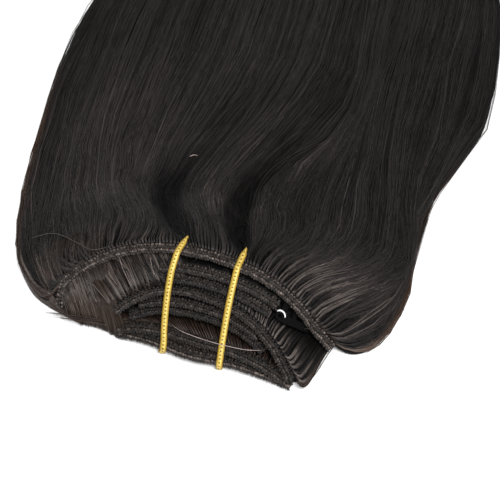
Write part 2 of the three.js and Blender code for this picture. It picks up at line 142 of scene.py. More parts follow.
# Valleys and swells of the pile, in millimetres: each row is y, x, rise and half width.
SWELLS = [
    [(4, -18, 0, 3), (10, -19, -4, 4), (20, -27, -8, 5), (35, -36, -9, 6), (55, -41, -5, 7), (85, -38, 0, 8)],
    [(4, 13, 0, 3), (10, 12, -4, 4), (20, 8, -9, 5), (38, 3, -10, 6), (60, 5, -6, 7), (80, 14, -3, 7),
     (105, 28, 0, 7)],
    [(8, 24, 0, 5), (30, 14, 2, 6), (60, 13, 4, 7), (80, 22, 4, 8), (105, 38, 3, 9), (150, 44, 0, 10)],
    [(6, -4, 0, 5), (30, -14, 2.5, 7), (60, -18, 2, 9), (110, -6, 0, 12)],
    [(10, 45, 0, 8), (35, 52, 2, 9), (70, 58, 2, 9), (120, 60, 0, 10)],
    [(0, -52, 0, 7), (25, -70, 2, 8), (60, -74, 1, 9), (110, -70, 0, 10)],
]
SIDE_HOLLOW = (49, -9, 12, 5)
SIDE_SHADOW = (54, -15, 8.5)

# The edge on the table of the hair that folds out under the left panel, in millimetres.
FOLD_EDGE = [(-74, -28), (-67, -31), (-62.5, -32.5), (-54, -32.5), (-47.5, -34), (-42.5, -36), (-40, -36.5)]

# The edge on the table of the left lobe, from under the panel to where the outline turns up.
LOBE_EDGE = [(-54.5, -31.4), (-66.4, -31.7), (-74.2, -29.4), (-85.4, -25.3), (-93.4, -21.6), (-101.4, -12.8),
             (-110.2, -2.2), (-115, 9)]

# How many faces a hair sheet has across and how many points along.
TOP_GRID, LOWER_GRID = (260, 90), (150, 56)

# The tube radius of an eyelet's raised rim and of the bright arc on it that is a painted highlight, in
# millimetres.
RIM_TUBE, HIGHLIGHT_TUBE = 0.38, 0.55

# How the top header's left end bends down to the table: its course at the header and its whole way.
FOOT_COURSE = (-4.5, -3.4, -4.5)
FOOT_WAY = (-2.5, -7, -13.5)
ARCH_POWER = 2.7
MOUTH_SPAN = 0.47
EDGE_FADE = 0.12
DROOP_PEAK = 256 / 27


def from_table(rows, column, along):
    """A column of a table at an array of places, on a smooth curve through the rows."""
    place = np.array([row["along"] for row in rows], float)
    value = np.array([row[column] for row in rows], float)
    last = len(rows) - 1
    t = np.clip(along, place[0], place[-1])
    i = np.clip(np.searchsorted(place, t, side="left") - 1, 0, last - 1)
    ends = np.arange(last + 1)
    after, before = np.minimum(ends + 1, last), np.maximum(ends - 1, 0)
    slope = (value[after] - value[before]) / (place[after] - place[before])
    width = place[i + 1] - place[i]
    s = (t - place[i]) / width
    ease = s * s * (3 - 2 * s)
    rise = s * (1 - s) * ((1 - s) * slope[i] - s * slope[i + 1])
    return value[i] + (value[i + 1] - value[i]) * ease + rise * width


def smooth(value, low, high):
    """0 below low, 1 above high and an even S between them."""
    t = np.clip((value - low) / (high - low), 0, 1)
    return t * t * (3 - 2 * t)


def ripple(x, y, seed):
    """Smooth noise between -1 and 1 over a plane, the same on every run."""
    grid = np.random.default_rng(seed).uniform(-1, 1, (64, 64))
    x, y = np.broadcast_arrays(np.asarray(x, float), np.asarray(y, float))
    i, j = np.floor(x).astype(int), np.floor(y).astype(int)
    fx, fy = smooth(x - i, 0, 1), smooth(y - j, 0, 1)
    low = grid[i % 64, j % 64] * (1 - fx) + grid[(i + 1) % 64, j % 64] * fx
    high = grid[i % 64, (j + 1) % 64] * (1 - fx) + grid[(i + 1) % 64, (j + 1) % 64] * fx
    return low * (1 - fy) + high * fy


class Sheaf:
    """Where everything lies, in millimetres, worked out from the sizes in the panel."""

    root_gap, layer_gap, clip_gap, tie_gap, table_gap = 0.4, 0.5, 0.3, 0.3, 0.2
    tip_thickness, join_line, puff_length = 1.1, 50, 9
    mouth_height, mouth_depth, tie_reach = 4, 34, 5
    clip_bar, clip_eyelet = 2.2, 2.7

    def __init__(self, sizes):
        for name in ("hair_length", "spread_width", "crown_span", "sheaf_depth", "header_width",
                     "header_thickness", "clip_width", "clip_depth", "clip_thickness", "tie_width",
                     "tie_thickness"):
            setattr(self, name, getattr(sizes, name) * 1000)
        self.layer = self.header_thickness + self.clip_thickness + 3 * self.clip_gap
        self.tie_middle = -0.0125 * self.crown_span
        self.tie_spacing = self.clip_width + self.tie_width + 2 * (self.tie_gap + self.clip_bar)
        half_widths = (self.tie_spacing + self.tie_width + self.clip_width) / 2
        self.beside_tie = half_widths + self.tie_gap + self.clip_gap
        half_spacing = self.tie_spacing / 2
        self.ties = {"left": self.tie_middle - half_spacing, "right": self.tie_middle + half_spacing}

    def lateral(self, k, y):
        """The middle and half width of a weft's hair at y."""
        weft, along = WEFTS[k], np.asarray(y) / self.hair_length
        edges = []
        for side, sign in (("left", -1), ("right", 1)):
            edge = from_table(OUTLINE, side, along) * self.spread_width * weft["reach"]
            if weft["reach"] < 1:
                root = (weft["middle"] + sign * (weft["span"] / 2 + weft["bulge"])) * self.crown_span
                edge = root + (edge - root) * from_table(FANNING, side, along)
            edges.append(edge)
        return (edges[0] + edges[1]) / 2, (edges[1] - edges[0]) / 2

    def layer_at(self, k, x, y):
        """The thickness that a weft's hair takes up in the pile."""
        weft = WEFTS[k]
        middle, half = self.lateral(k, y)
        side = np.abs(x - middle) / half
        full = weft["layer"] * self.layer * from_table(SETTLING, "share", np.asarray(y) / self.hair_length)
        crown = np.maximum(0, full - self.tip_thickness) * np.maximum(0, 1 - side * side) ** weft["power"]
        beyond = self.tip_thickness * np.maximum(0, 1 - (side - 1) / EDGE_FADE)
        return np.where(side >= 1, beyond, self.tip_thickness + crown)

    def mouth_at(self, x, y):
        """The height of the open pocket over the second weft's hair."""
        side = 2 * x / (MOUTH_SPAN * self.crown_span)
        closing = 1 - smooth(y, -self.sheaf_depth, self.mouth_depth - self.sheaf_depth)
        return self.mouth_height * np.maximum(0, 1 - side * side) * closing

    def pile_under(self, k, x, y):
        """The top of the pile under a weft."""
        height = np.zeros(np.broadcast(x, y).shape)
        for lower in range(k):
            height = height + self.layer_at(lower, x, y)
            if lower == MOUTH_ABOVE:
                height = height + self.mouth_at(x, y)
        return height

    def header_plan(self, k, u):
        """A header's middle line from above, and the unit vector that its hair leaves it along."""
        weft = WEFTS[k]
        half = weft["span"] / 2 * self.crown_span
        sag = weft["sag"] * weft["span"] * self.crown_span
        x = weft["middle"] * self.crown_span + u * half
        y = weft["back"] * self.sheaf_depth + weft["skew"] * u * half - sag * np.abs(u) ** ARCH_POWER
        y = y - weft.get("bow", 0) * (np.exp(-((x - self.tie_middle) / 17) ** 2) - 0.4)
        slope = weft["skew"] - sag * ARCH_POWER * np.sign(u) * np.abs(u) ** (ARCH_POWER - 1) / half
        length = np.sqrt(slope * slope + 1)
        return x, y, -slope / length, 1 / length

    def header_height(self, k, x, y):
        lowest = self.header_thickness / 2 + self.layer_gap
        high = self.layer_at(k, x, y) - self.header_thickness / 2
        return self.pile_under(k, x, y) + np.maximum(high, lowest)

    def header_point(self, k, u, across, up):
        """Points of a header: u along it, across out to its back edge, and up from its middle."""
        x, y, ox, oy = self.header_plan(k, u)
        px, py = x + ox * across, y + oy * across
        return np.stack(np.broadcast_arrays(px, py, self.header_height(k, px, py) + up), -1)

    def foot(self, s):
        """The top header's left end, from the straight band (0) down to the table (1)."""
        start = self.header_point(TOP, np.array([-1.0]), 0, 0)[0]
        course, way, s = np.array(FOOT_COURSE), np.array(FOOT_WAY), np.asarray(s, float)[..., None]
        return start + course * s + (way - course) * s * s

    def root_plan(self, k, u, t):
        """Where a strand lies from above: u across the weft, t from the root to the join line."""
        weft = WEFTS[k]
        x, y, ox, oy = self.header_plan(k, u)
        offset = self.header_width / 2 + self.root_gap
        root_x, root_y = x + ox * offset, y + oy * offset
        fan = u * u if k < TOP else 0.3 * u * u + 0.7 * smooth(np.abs(u), 0.86, 1)
        hang = np.where(u < 0, *weft["droop"]) * self.header_width * fan ** 3
        py = root_y + (self.join_line - root_y) * t ** (1 + fan) - hang * DROOP_PEAK * t * (1 - t) ** 3
        middle, half = self.lateral(k, root_y)
        start = (root_x - middle) / half
        side = start + (u - start) * (1 - (1 - t) ** (1 + 2 * fan))
        middle, half = self.lateral(k, py)
        return middle + half * side, py

    def strand_plan(self, k, u, run, extra=0.0):
        """Strands from above: run goes from the root (0) over the join line (1) to the tip (2)."""
        steps = np.linspace(0, 1, 13)
        sx, sy = self.root_plan(k, u[..., :1], steps)
        length = np.hypot(np.diff(sx, axis=-1), np.diff(sy, axis=-1)).sum(-1, keepdims=True)
        end = self.join_line + self.hair_length - length + extra
        x, y = self.root_plan(k, u, np.clip(run, 0, 1))
        beyond = run > 1
        far_y = self.join_line + (end - self.join_line) * np.clip(run - 1, 0, 1)
        middle, half = self.lateral(k, far_y)
        return np.where(beyond, middle + half * u, x), np.where(beyond, far_y, y)

    def rise(self, x, y):
        """The height of the swells, below zero in the valleys."""
        rise = 0
        for path in SWELLS:
            place = [row[0] for row in path]
            middle, height, half = (np.interp(y, place, [row[i] for row in path]) for i in (1, 2, 3))
            rise = rise + height * np.exp(-((x - middle) / half) ** 2)
        return rise

    def swell(self, k, x, y):
        """The height of the pile as a share of its plain height, in its valleys and on its swells."""
        rise = self.rise(x, y)
        if k < TOP:
            hollow_x, hollow_y, radius, depth = SIDE_HOLLOW
            rise = rise - depth * np.exp(-((x - hollow_x) ** 2 + (y - hollow_y) ** 2) / radius ** 2)
        plain = self.pile_under(TOP, x, y) + self.layer_at(TOP, x, y)
        return np.maximum(0.35, 1 + rise / np.maximum(plain, 8))

    def sweep(self, u, y):
        """How far sideways the top weft's hair is swept."""
        rows = np.array([row[1] for row in SWEEP], float)
        place, across = np.array([row[0] for row in SWEEP], float), np.array(SWEEP_ACROSS)
        slope = np.gradient(rows, place, axis=0)
        i = np.clip(np.searchsorted(place, y) - 1, 0, len(place) - 2)
        j = np.clip(np.searchsorted(across, u) - 1, 0, len(across) - 2)
        width = place[i + 1] - place[i]
        t = np.clip((y - place[i]) / width, 0, 1)
        ease = t * t * (3 - 2 * t)
        s = np.clip((u - across[j]) / (across[j + 1] - across[j]), 0, 1)
        s = 0.4 * smooth(s, 0, 1) + 0.6 * s

        def column(c):
            bend = t * (1 - t) * ((1 - t) * slope[i, c] - t * slope[i + 1, c]) * width
            return rows[i, c] * (1 - ease) + rows[i + 1, c] * ease + bend

        return column(j) * (1 - s) + column(j + 1) * s

    def plan(self, k, u, run, extra=0.0):
        """Strands from above, with the sweep of the top weft."""
        x, y = self.strand_plan(k, u, run, extra)
        if k == TOP:
            x = x + self.sweep(u, y) * smooth(run, 0, 0.2)
        return x, y

    def filling(self, x, y):
        """How full the gap under the top weft's left foot is, and the height that it is filled to."""
        span = WEFTS[TOP]["span"] / 2 * self.crown_span
        u = np.clip((x - WEFTS[TOP]["middle"] * self.crown_span) / span, -1, 1)
        _, line, _, _ = self.header_plan(TOP, u)
        gap = y - line + self.header_width / 2
        share = smooth(gap, -15, -1) * (1 - smooth(gap, 1, 7)) * smooth(-x, 10, 20) * (1 - smooth(-x, 68, 82))
        return share, self.header_height(TOP, x, line) - self.header_thickness / 2 - 0.5

    def surface(self, k, x, y, run):
        """The height of the top and the underside of a weft's hair."""
        puff = smooth(np.clip(run, 0, 1.2) * self.join_line, 0, self.puff_length)
        floor = self.pile_under(k, x, y)
        thick = self.layer_at(k, x, y)
        middle = self.header_height(k, x, y)
        half = self.header_thickness / 2
        top = middle + half + (floor + thick - self.layer_gap / 2 - middle - half) * puff
        base = floor + (self.layer_gap / 2 if k else 0.05)
        bottom = middle - half + (base - middle + half) * puff if k else base
        change = 1 + (self.swell(k, x, y) - 1) * smooth(run, 0.02, 0.2)
        if k == WIDE_ARCH:
            share, height = self.filling(x, y)
            top = top + share * np.maximum(0, height - top)
        return top * change, bottom * change

    def tie_loop(self, x):
        """The loop of a tie in the plane across the wefts, as y, z and its outward normal."""
        corners = []
        for k in range(len(WEFTS)):
            half = WEFTS[k]["span"] / 2 * self.crown_span
            for edge in (-self.tie_width / 2, self.tie_width / 2):
                u = (x + edge - WEFTS[k]["middle"] * self.crown_span) / half
                if abs(u) <= 1:
                    for across in (-self.header_width / 2, self.header_width / 2):
                        for up in (-self.header_thickness / 2, self.header_thickness / 2):
                            p = self.header_point(k, u, across, up)
                            corners.append((float(p[1]), float(p[2])))
        back = max(y for y, _ in corners) + self.tie_reach
        inset = self.table_gap + self.tie_thickness + self.tie_gap
        corners += [(back, max(z for _, z in corners)), (back, inset), (min(y for y, _ in corners), inset)]
        outer = convex_outline(corners)
        reach = self.tie_gap + self.tie_thickness / 2
        loop = []
        for i, p in enumerate(outer):
            before, after = outer[i - 1], outer[(i + 1) % len(outer)]
            start = math.atan2(before[0] - p[0], p[1] - before[1])
            stop = math.atan2(p[0] - after[0], after[1] - p[1])
            stop += 2 * math.pi if stop < start else 0
            for s in range(5):
                angle = start + (stop - start) * s / 4
                ny, nz = math.cos(angle), math.sin(angle)
                loop.append((p[0] + ny * reach, p[1] + nz * reach, ny, nz))
        return np.array(loop)

    def clip_places(self, k):
        """Each clip of a weft: its name's end, place, slip forward and turn."""
        kind = WEFTS[k]["clips"]
        if kind == "between":
            return [("", self.tie_middle, 0, 0)]
        if kind == "outside":
            return [("_left", self.tie_middle - self.beside_tie, 0, 0),
                    ("_right", self.tie_middle + self.beside_tie, 0, 0)]
        below = WEFTS[k - 1]
        left, right = ((below["middle"] + s * below["span"] / 2) * self.crown_span for s in (-1, 1))
        return [("_left", left - 1.2 * self.clip_width, 0.1, 0),
                ("_right", right + 0.6 * self.clip_width, 0.8, 32)]

    def clip_matrix(self, k, x, slip, turn):
        """A clip's own frame: x along it, y to its back and z up."""
        half = WEFTS[k]["span"] / 2 * self.crown_span
        u = (x - WEFTS[k]["middle"] * self.crown_span) / half
        across = self.clip_eyelet - slip * self.clip_depth if slip else (
            self.header_width / 2 + self.clip_gap + self.clip_eyelet)
        drop = self.clip_gap + 2 * self.clip_thickness if slip else 0
        step = self.clip_eyelet
        point = lambda v, a: Vector(self.header_point(k, v, a, 0))
        along = (point(u + step / half, across) - point(u - step / half, across)).normalized()
        back = point(u, across + step) - point(u, across - step)
        up = along.cross(back).normalized()
        back = up.cross(along)
        origin = point(u, across) - up * (self.header_thickness / 2 + drop)
        basis = Matrix((along, back, up)).transposed().to_4x4()
        return Matrix.Translation(origin) @ basis @ Matrix.Rotation(math.radians(turn), 4, "Z")


def convex_outline(points):
    """The convex outline round points in a plane, counter-clockwise."""
    def chain(order):
        kept = []
        for p in order:
            while len(kept) > 1 and (
                (kept[-1][0] - kept[-2][0]) * (p[1] - kept[-2][1])
                <= (kept[-1][1] - kept[-2][1]) * (p[0] - kept[-2][0])
            ):
                kept.pop()
            kept.append(p)
        return kept[:-1]

    ordered = sorted(set(points))
    return chain(ordered) + chain(ordered[::-1])


def make_mesh(name, points, faces, material, attributes=None, shade=True):
    """A mesh object from points in millimetres and faces of one size or a list of arrays of faces."""
    mesh = bpy.data.meshes.new(name)
    groups = faces if isinstance(faces, list) else [faces]
    points = np.asarray(points, np.float32).reshape(-1, 3) / 1000
    mesh.vertices.add(len(points))
    mesh.vertices.foreach_set("co", points.ravel())
    corners = np.concatenate([g.ravel() for g in groups]).astype(np.int32)
    totals = np.concatenate([np.full(len(g), g.shape[1]) for g in groups])
    mesh.loops.add(len(corners))
    mesh.loops.foreach_set("vertex_index", corners)
    mesh.polygons.add(len(totals))
    mesh.polygons.foreach_set("loop_start", np.concatenate([[0], np.cumsum(totals)[:-1]]).astype(np.int32))
    mesh.update(calc_edges=True)
    mesh.validate()
    mesh.polygons.foreach_set("use_smooth", np.full(len(mesh.polygons), shade))
    for key, values in (attributes or {}).items():
        mesh.attributes.new(key, "FLOAT", "POINT").data.foreach_set(
            "value", np.asarray(values, np.float32).ravel())
    mesh.materials.append(material)
    obj = bpy.data.objects.new(name, mesh)
    bpy.context.scene.collection.objects.link(obj)
    return obj


def finish_piece(obj, slot, *nodes):
    """Puts a finished piece on the frame and lets it stand for its CAD nodes."""
    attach(obj, "root")
    if nodes:
        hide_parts(*nodes)
    return obj


# Materials


def new_material(name):
    material = bpy.data.materials.new(name)
    material.use_nodes = True
    nodes, links = material.node_tree.nodes, material.node_tree.links
    return material, nodes, links, nodes["Principled BSDF"]


def add_node(nodes, kind, **settings):
    node = nodes.new(kind)
    for key, value in settings.items():
        if key in node.inputs:
            node.inputs[key].default_value = value
        else:
            setattr(node, key, value)
    return node


def ramp(nodes, stops):
    """A colour ramp from pairs of place and colour."""
    node = nodes.new("ShaderNodeValToRGB")
    elements = node.color_ramp.elements
    while len(elements) < len(stops):
        elements.new(0.5)
    for element, (place, colour) in zip(elements, stops):
        element.position = place
        element.color = (*colour[:3], 1)
    return node


def scaled(colour, share):
    return tuple(c * share for c in colour[:3])


def strand_material(colours):
    """Single strands: each has its own tone, with painted sheen and shade in it, and they turn brown where
    light comes through.
    """
    material, nodes, links, shader = new_material("hair_strand")
    tone = add_node(nodes, "ShaderNodeAttribute", attribute_name="tone")
    thin = add_node(nodes, "ShaderNodeAttribute", attribute_name="thin")
    place = add_node(nodes, "ShaderNodeTexCoord")
    patches = add_node(nodes, "ShaderNodeTexNoise", Scale=38.0, Detail=3.0)
    links.new(place.outputs["Object"], patches.inputs["Vector"])
    mixed = add_node(nodes, "ShaderNodeMath", operation="MULTIPLY_ADD")
    mixed.inputs[1].default_value = 0.25
    links.new(patches.outputs["Fac"], mixed.inputs[0])
    links.new(tone.outputs["Fac"], mixed.inputs[2])
    tones = ramp(nodes, [(0.1, colours.hair_dark), (0.42, colours.hair_mid), (0.7, colours.hair_light),
                         (1.0, colours.hair_sheen)])
    links.new(mixed.outputs[0], tones.inputs["Fac"])
    mix = add_node(nodes, "ShaderNodeMix", data_type="RGBA")
    links.new(thin.outputs["Fac"], mix.inputs[0])
    links.new(tones.outputs["Color"], mix.inputs[6])
    mix.inputs[7].default_value = (*colours.hair_edge[:3], 1)
    links.new(mix.outputs[2], shader.inputs["Base Color"])
    shader.inputs["Roughness"].default_value = 0.45
    shader.inputs["Specular IOR Level"].default_value = 0.22
    return material


def underlayer_material(colours):
    """The hair under the loose strands: fine streaks along it, in colour and in relief, mostly darker than
    the strands as painted shade under them.
    """
    material, nodes, links, shader = new_material("hair_sheet")
    flow = add_node(nodes, "ShaderNodeUVMap", uv_map="flow")
    stretch = add_node(nodes, "ShaderNodeMapping")
    stretch.inputs["Scale"].default_value = (900, 9, 1)
    links.new(flow.outputs["UV"], stretch.inputs["Vector"])
    fine = add_node(nodes, "ShaderNodeTexNoise", Scale=1.0, Detail=4.0, Roughness=0.7)
    links.new(stretch.outputs["Vector"], fine.inputs["Vector"])
    broad_map = add_node(nodes, "ShaderNodeMapping")
    broad_map.inputs["Scale"].default_value = (130, 5, 1)
    links.new(flow.outputs["UV"], broad_map.inputs["Vector"])
    broad = add_node(nodes, "ShaderNodeTexNoise", Scale=1.0, Detail=3.0)
    links.new(broad_map.outputs["Vector"], broad.inputs["Vector"])
    both = add_node(nodes, "ShaderNodeMath", operation="MULTIPLY")
    links.new(fine.outputs["Fac"], both.inputs[0])
    links.new(broad.outputs["Fac"], both.inputs[1])
    # Painted shade: the sheet's tones are scaled down to half, so it reads as the shade under and between the
    # strands.
    tones = ramp(nodes, [(0.12, scaled(colours.hair_dark, 0.5)), (0.28, scaled(colours.hair_mid, 0.5)),
                         (0.42, colours.hair_mid)])
    links.new(both.outputs[0], tones.inputs["Fac"])
    links.new(tones.outputs["Color"], shader.inputs["Base Color"])
    bump = add_node(nodes, "ShaderNodeBump", Strength=0.8, Distance=0.0006)
    links.new(both.outputs[0], bump.inputs["Height"])
    links.new(bump.outputs["Normal"], shader.inputs["Normal"])
    shader.inputs["Roughness"].default_value = 0.65
    shader.inputs["Specular IOR Level"].default_value = 0.12
    return material


def thread_material(colours, name="sewn_thread", share=1.0):
    """Sewing thread and bound hair: fine twisted fibres with a little fuzz."""
    material, nodes, links, shader = new_material(name)
    thread = scaled(colours.thread, share)
    place = add_node(nodes, "ShaderNodeTexCoord")
    fibre = add_node(nodes, "ShaderNodeTexNoise", Scale=2600.0, Detail=3.0, Roughness=0.65)
    patches = add_node(nodes, "ShaderNodeTexNoise", Scale=430.0, Detail=2.0)
    links.new(place.outputs["Object"], fibre.inputs["Vector"])
    links.new(place.outputs["Object"], patches.inputs["Vector"])
    mixed = add_node(nodes, "ShaderNodeMath", operation="MULTIPLY_ADD")
    mixed.inputs[1].default_value = 0.5
    links.new(fibre.outputs["Fac"], mixed.inputs[0])
    links.new(patches.outputs["Fac"], mixed.inputs[2])
    tones = ramp(nodes, [(0.55, scaled(thread, 0.25)), (0.75, thread), (0.95, scaled(thread, 2.6))])
    links.new(mixed.outputs[0], tones.inputs["Fac"])
    links.new(tones.outputs["Color"], shader.inputs["Base Color"])
    bump = add_node(nodes, "ShaderNodeBump", Strength=0.6, Distance=0.0002)
    links.new(fibre.outputs["Fac"], bump.inputs["Height"])
    links.new(bump.outputs["Normal"], shader.inputs["Normal"])
    shader.inputs["Roughness"].default_value = 0.6
    shader.inputs["Specular IOR Level"].default_value = 0.35
    return material


def foil_material(colours):
    """Golden foil film pressed over a wire core, creased across in fine ridges, with a painted highlight down
    its middle and painted shade along its edges.
    """
    material, nodes, links, shader = new_material("gold_foil")
    flow = add_node(nodes, "ShaderNodeUVMap", uv_map="flow")
    parts = add_node(nodes, "ShaderNodeSeparateXYZ")
    links.new(flow.outputs["UV"], parts.inputs[0])
    centre = add_node(nodes, "ShaderNodeMath", operation="ABSOLUTE")
    links.new(parts.outputs["X"], centre.inputs[0])
    # Painted highlight: the middle of the film is paler. Painted shade: its edges are darker.
    pale = tuple(min(1, c * 1.35 + 0.05) for c in colours.foil)
    edge = (colours.foil[0] * 0.6, colours.foil[1] * 0.45, colours.foil[2] * 0.2)
    tones = ramp(nodes, [(0.0, pale), (0.35, pale), (0.6, colours.foil), (1.0, edge)])
    links.new(centre.outputs[0], tones.inputs["Fac"])
    wave = add_node(nodes, "ShaderNodeMath", operation="SINE")
    rate = add_node(nodes, "ShaderNodeMath", operation="MULTIPLY")
    rate.inputs[1].default_value = 2 * math.pi / 1.9
    links.new(parts.outputs["Y"], rate.inputs[0])
    links.new(rate.outputs[0], wave.inputs[0])
    crease = ramp(nodes, [(0.16, (1, 1, 1)), (0.38, (0.0, 0.0, 0.0))])
    links.new(centre.outputs[0], crease.inputs["Fac"])
    dots = add_node(nodes, "ShaderNodeMath", operation="MULTIPLY")
    links.new(wave.outputs[0], dots.inputs[0])
    links.new(crease.outputs["Color"], dots.inputs[1])
    dark = ramp(nodes, [(0.15, (1, 1, 1)), (0.6, (0.24, 0.17, 0.06))])
    links.new(dots.outputs[0], dark.inputs["Fac"])
    dotted = add_node(nodes, "ShaderNodeMix", data_type="RGBA", blend_type="MULTIPLY")
    dotted.inputs[0].default_value = 1
    links.new(tones.outputs["Color"], dotted.inputs[6])
    links.new(dark.outputs["Color"], dotted.inputs[7])
    place = add_node(nodes, "ShaderNodeTexCoord")
    crinkle = add_node(nodes, "ShaderNodeTexNoise", Scale=900.0, Detail=3.0, Roughness=0.6)
    links.new(place.outputs["Object"], crinkle.inputs["Vector"])
    wear = ramp(nodes, [(0.35, (0.72, 0.72, 0.72)), (0.6, (1, 1, 1))])
    links.new(crinkle.outputs["Fac"], wear.inputs["Fac"])
    mix = add_node(nodes, "ShaderNodeMix", data_type="RGBA", blend_type="MULTIPLY")
    mix.inputs[0].default_value = 1
    links.new(dotted.outputs[2], mix.inputs[6])
    links.new(wear.outputs["Color"], mix.inputs[7])
    links.new(mix.outputs[2], shader.inputs["Base Color"])
    bump = add_node(nodes, "ShaderNodeBump", Strength=0.5, Distance=0.0002)
    links.new(crinkle.outputs["Fac"], bump.inputs["Height"])
    links.new(bump.outputs["Normal"], shader.inputs["Normal"])
    shader.inputs["Metallic"].default_value = 0.1
    shader.inputs["Roughness"].default_value = 0.42
    shader.inputs["Specular IOR Level"].default_value = 0.35
    return material


def clip_material(colours, name="clip_black", highlight=False):
    """Coated spring steel with fine grain, or a bright arc on an eyelet's rim as a painted highlight."""
    material, nodes, links, shader = new_material(name)
    place = add_node(nodes, "ShaderNodeTexCoord")
    grain = add_node(nodes, "ShaderNodeTexNoise", Scale=1400.0, Detail=4.0, Roughness=0.6)
    links.new(place.outputs["Object"], grain.inputs["Vector"])
    base = colours.rim_highlight if highlight else colours.clip_black
    tones = ramp(nodes, [(0.35, scaled(base, 0.7)), (0.65, scaled(base, 1.25))])
    links.new(grain.outputs["Fac"], tones.inputs["Fac"])
    links.new(tones.outputs["Color"], shader.inputs["Base Color"])
    bump = add_node(nodes, "ShaderNodeBump", Strength=0.25, Distance=0.0001)
    links.new(grain.outputs["Fac"], bump.inputs["Height"])
    links.new(bump.outputs["Normal"], shader.inputs["Normal"])
    shader.inputs["Metallic"].default_value = 0.2 if highlight else 0.0
    shader.inputs["Roughness"].default_value = 0.3 if highlight else 0.55
    shader.inputs["Specular IOR Level"].default_value = 0.6 if highlight else 0.04
    return material


def pale_material(colours):
    """A bright single fibre that catches the light."""
    material, nodes, links, shader = new_material("pale_fibre")
    place = add_node(nodes, "ShaderNodeTexCoord")
    patches = add_node(nodes, "ShaderNodeTexNoise", Scale=300.0, Detail=2.0)
    links.new(place.outputs["Object"], patches.inputs["Vector"])
    tones = ramp(nodes, [(0.3, scaled(colours.pale_fibre, 0.45)), (0.65, colours.pale_fibre)])
    links.new(patches.outputs["Fac"], tones.inputs["Fac"])
    links.new(tones.outputs["Color"], shader.inputs["Base Color"])
    shader.inputs["Roughness"].default_value = 0.35
    return material


MATERIALS = {}


def material_for(kind):
    """The material of a kind of piece, made once."""
    colours = bpy.context.scene.sheaf_colours
    makers = {
        "strand": strand_material,
        "sheet": underlayer_material,
        "thread": thread_material,
        # Copies of the thread at other tones: crown is painted light, and shaded and deep are painted shade.
        "crown": lambda c: thread_material(c, "lit_thread", 2.5),
        "shaded": lambda c: thread_material(c, "shaded_thread", 0.5),
        "deep_shade": lambda c: thread_material(c, "deep_shade_thread", 0.22),
        # Header band: the dark bound hair, kept dark as painted shade between the knots.
        "binding": lambda c: thread_material(c, "hair_binding", 0.22),
        "foil": foil_material,
        "pale": pale_material,
        "clip": clip_material,
        "rim": lambda c: clip_material(c, "highlight_rim", True),
    }
    if kind not in MATERIALS:
        MATERIALS[kind] = makers[kind](colours)
    return MATERIALS[kind]


# Hair


def gather(u, strength, count, seed):
    """Draws strands towards the middle of their lock. Gives the new u and where each lies in its lock."""
    near = u[..., :1] * count / 2
    offset = 0.35 * ripple(near / 1.3, 0.5, seed) + 0.6 * ripple(near / 5, 0.5, seed + 1)
    place = (u[..., :1] / 2 + 0.5) * count + offset
    lock = np.floor(place)
    across = 2 * (place - lock) - 1
    shift = -across / count * strength
    return u + shift, across, lock


ROOT_LOCKS = [int(w["span"] * 88) for w in WEFTS]


def corner_vertices(obj):
    """The vertex that each corner of a mesh's faces lies at."""
    corner = np.empty(len(obj.data.loops), np.int32)
    obj.data.loops.foreach_get("vertex_index", corner)
    return corner


def set_flow(obj, flow):
    """Gives each corner its place across and along the piece, for the pattern of its material."""
    layer = obj.data.uv_layers.new(name="flow")
    layer.data.foreach_set("uv", flow.astype(np.float32).ravel())


def sheet_mesh(sheaf, k, across, rows):
    """The hair of a weft as a closed sheet with locks, sunk a little under the loose strands."""
    u = np.linspace(-1, 1, across + 1)[:, None]
    near = rows // 2
    run = np.concatenate([np.linspace(0, 1, near, endpoint=False) ** 1.3, np.linspace(1, 2, rows - near)])
    run = np.broadcast_to(run, (across + 1, rows))
    locks = 26 if k == TOP else 18
    wide = np.broadcast_to(u, run.shape)
    _, place, lock = gather(wide, 0, locks, 31 + k)
    extra = -12 - 9 * np.abs(place) + 5 * ripple(lock, 0.5, 77 + k)
    x, y = sheaf.plan(k, wide, run, extra)
    top, bottom = sheaf.surface(k, x, y, run)
    grown = smooth(run, 0.05, 0.5)
    _, root_place, _ = gather(wide, 0, ROOT_LOCKS[k], 11 + k)
    far = 1 - 0.75 * smooth(run, 0.6, 1.2) if k == TOP else 1
    furrow = (0.8 + 0.8 * np.abs(place) ** 3 * grown * far
              + 0.3 * np.abs(ripple(wide * 90, run * 3, 5)) * grown)
    furrow = furrow + (0.5 + 0.9 * root_place ** 2) * (1 - smooth(run, 0.1, 0.5))
    top = top - np.minimum(furrow * smooth(run, 0, 0.02), (top - bottom) * 0.6)
    points = np.concatenate([np.stack([x, y, top], -1), np.stack([x, y, bottom], -1)])
    columns = across + 1
    at = lambda side, j, i: side * columns * rows + j * rows + i
    j, i = (a.ravel() for a in np.meshgrid(np.arange(across), np.arange(rows - 1), indexing="ij"))
    faces = [np.stack([at(0, j, i), at(0, j + 1, i), at(0, j + 1, i + 1), at(0, j, i + 1)], -1),
             np.stack([at(1, j, i), at(1, j, i + 1), at(1, j + 1, i + 1), at(1, j + 1, i)], -1)]
    j = np.arange(across)
    faces.append(np.stack([at(1, j, 0), at(1, j + 1, 0), at(0, j + 1, 0), at(0, j, 0)], -1))
    last = rows - 1
    faces.append(np.stack([at(0, j, last), at(0, j + 1, last), at(1, j + 1, last), at(1, j, last)], -1))
    i = np.arange(rows - 1)
    zero, end = np.zeros_like(i), np.full_like(i, across)
    faces.append(np.stack([at(1, zero, i), at(0, zero, i), at(0, zero, i + 1), at(1, zero, i + 1)], -1))
    faces.append(np.stack([at(0, end, i), at(1, end, i), at(1, end, i + 1), at(0, end, i + 1)], -1))
    obj = make_mesh(f"hair_sheet_{k + 1}", points.reshape(-1, 3), np.concatenate(faces),
                    material_for("sheet"))
    flow = np.stack([wide * 0.13, run * 0.2], -1).reshape(-1, 2)
    flow = np.concatenate([flow, flow])
    set_flow(obj, flow[corner_vertices(obj)])
    return obj


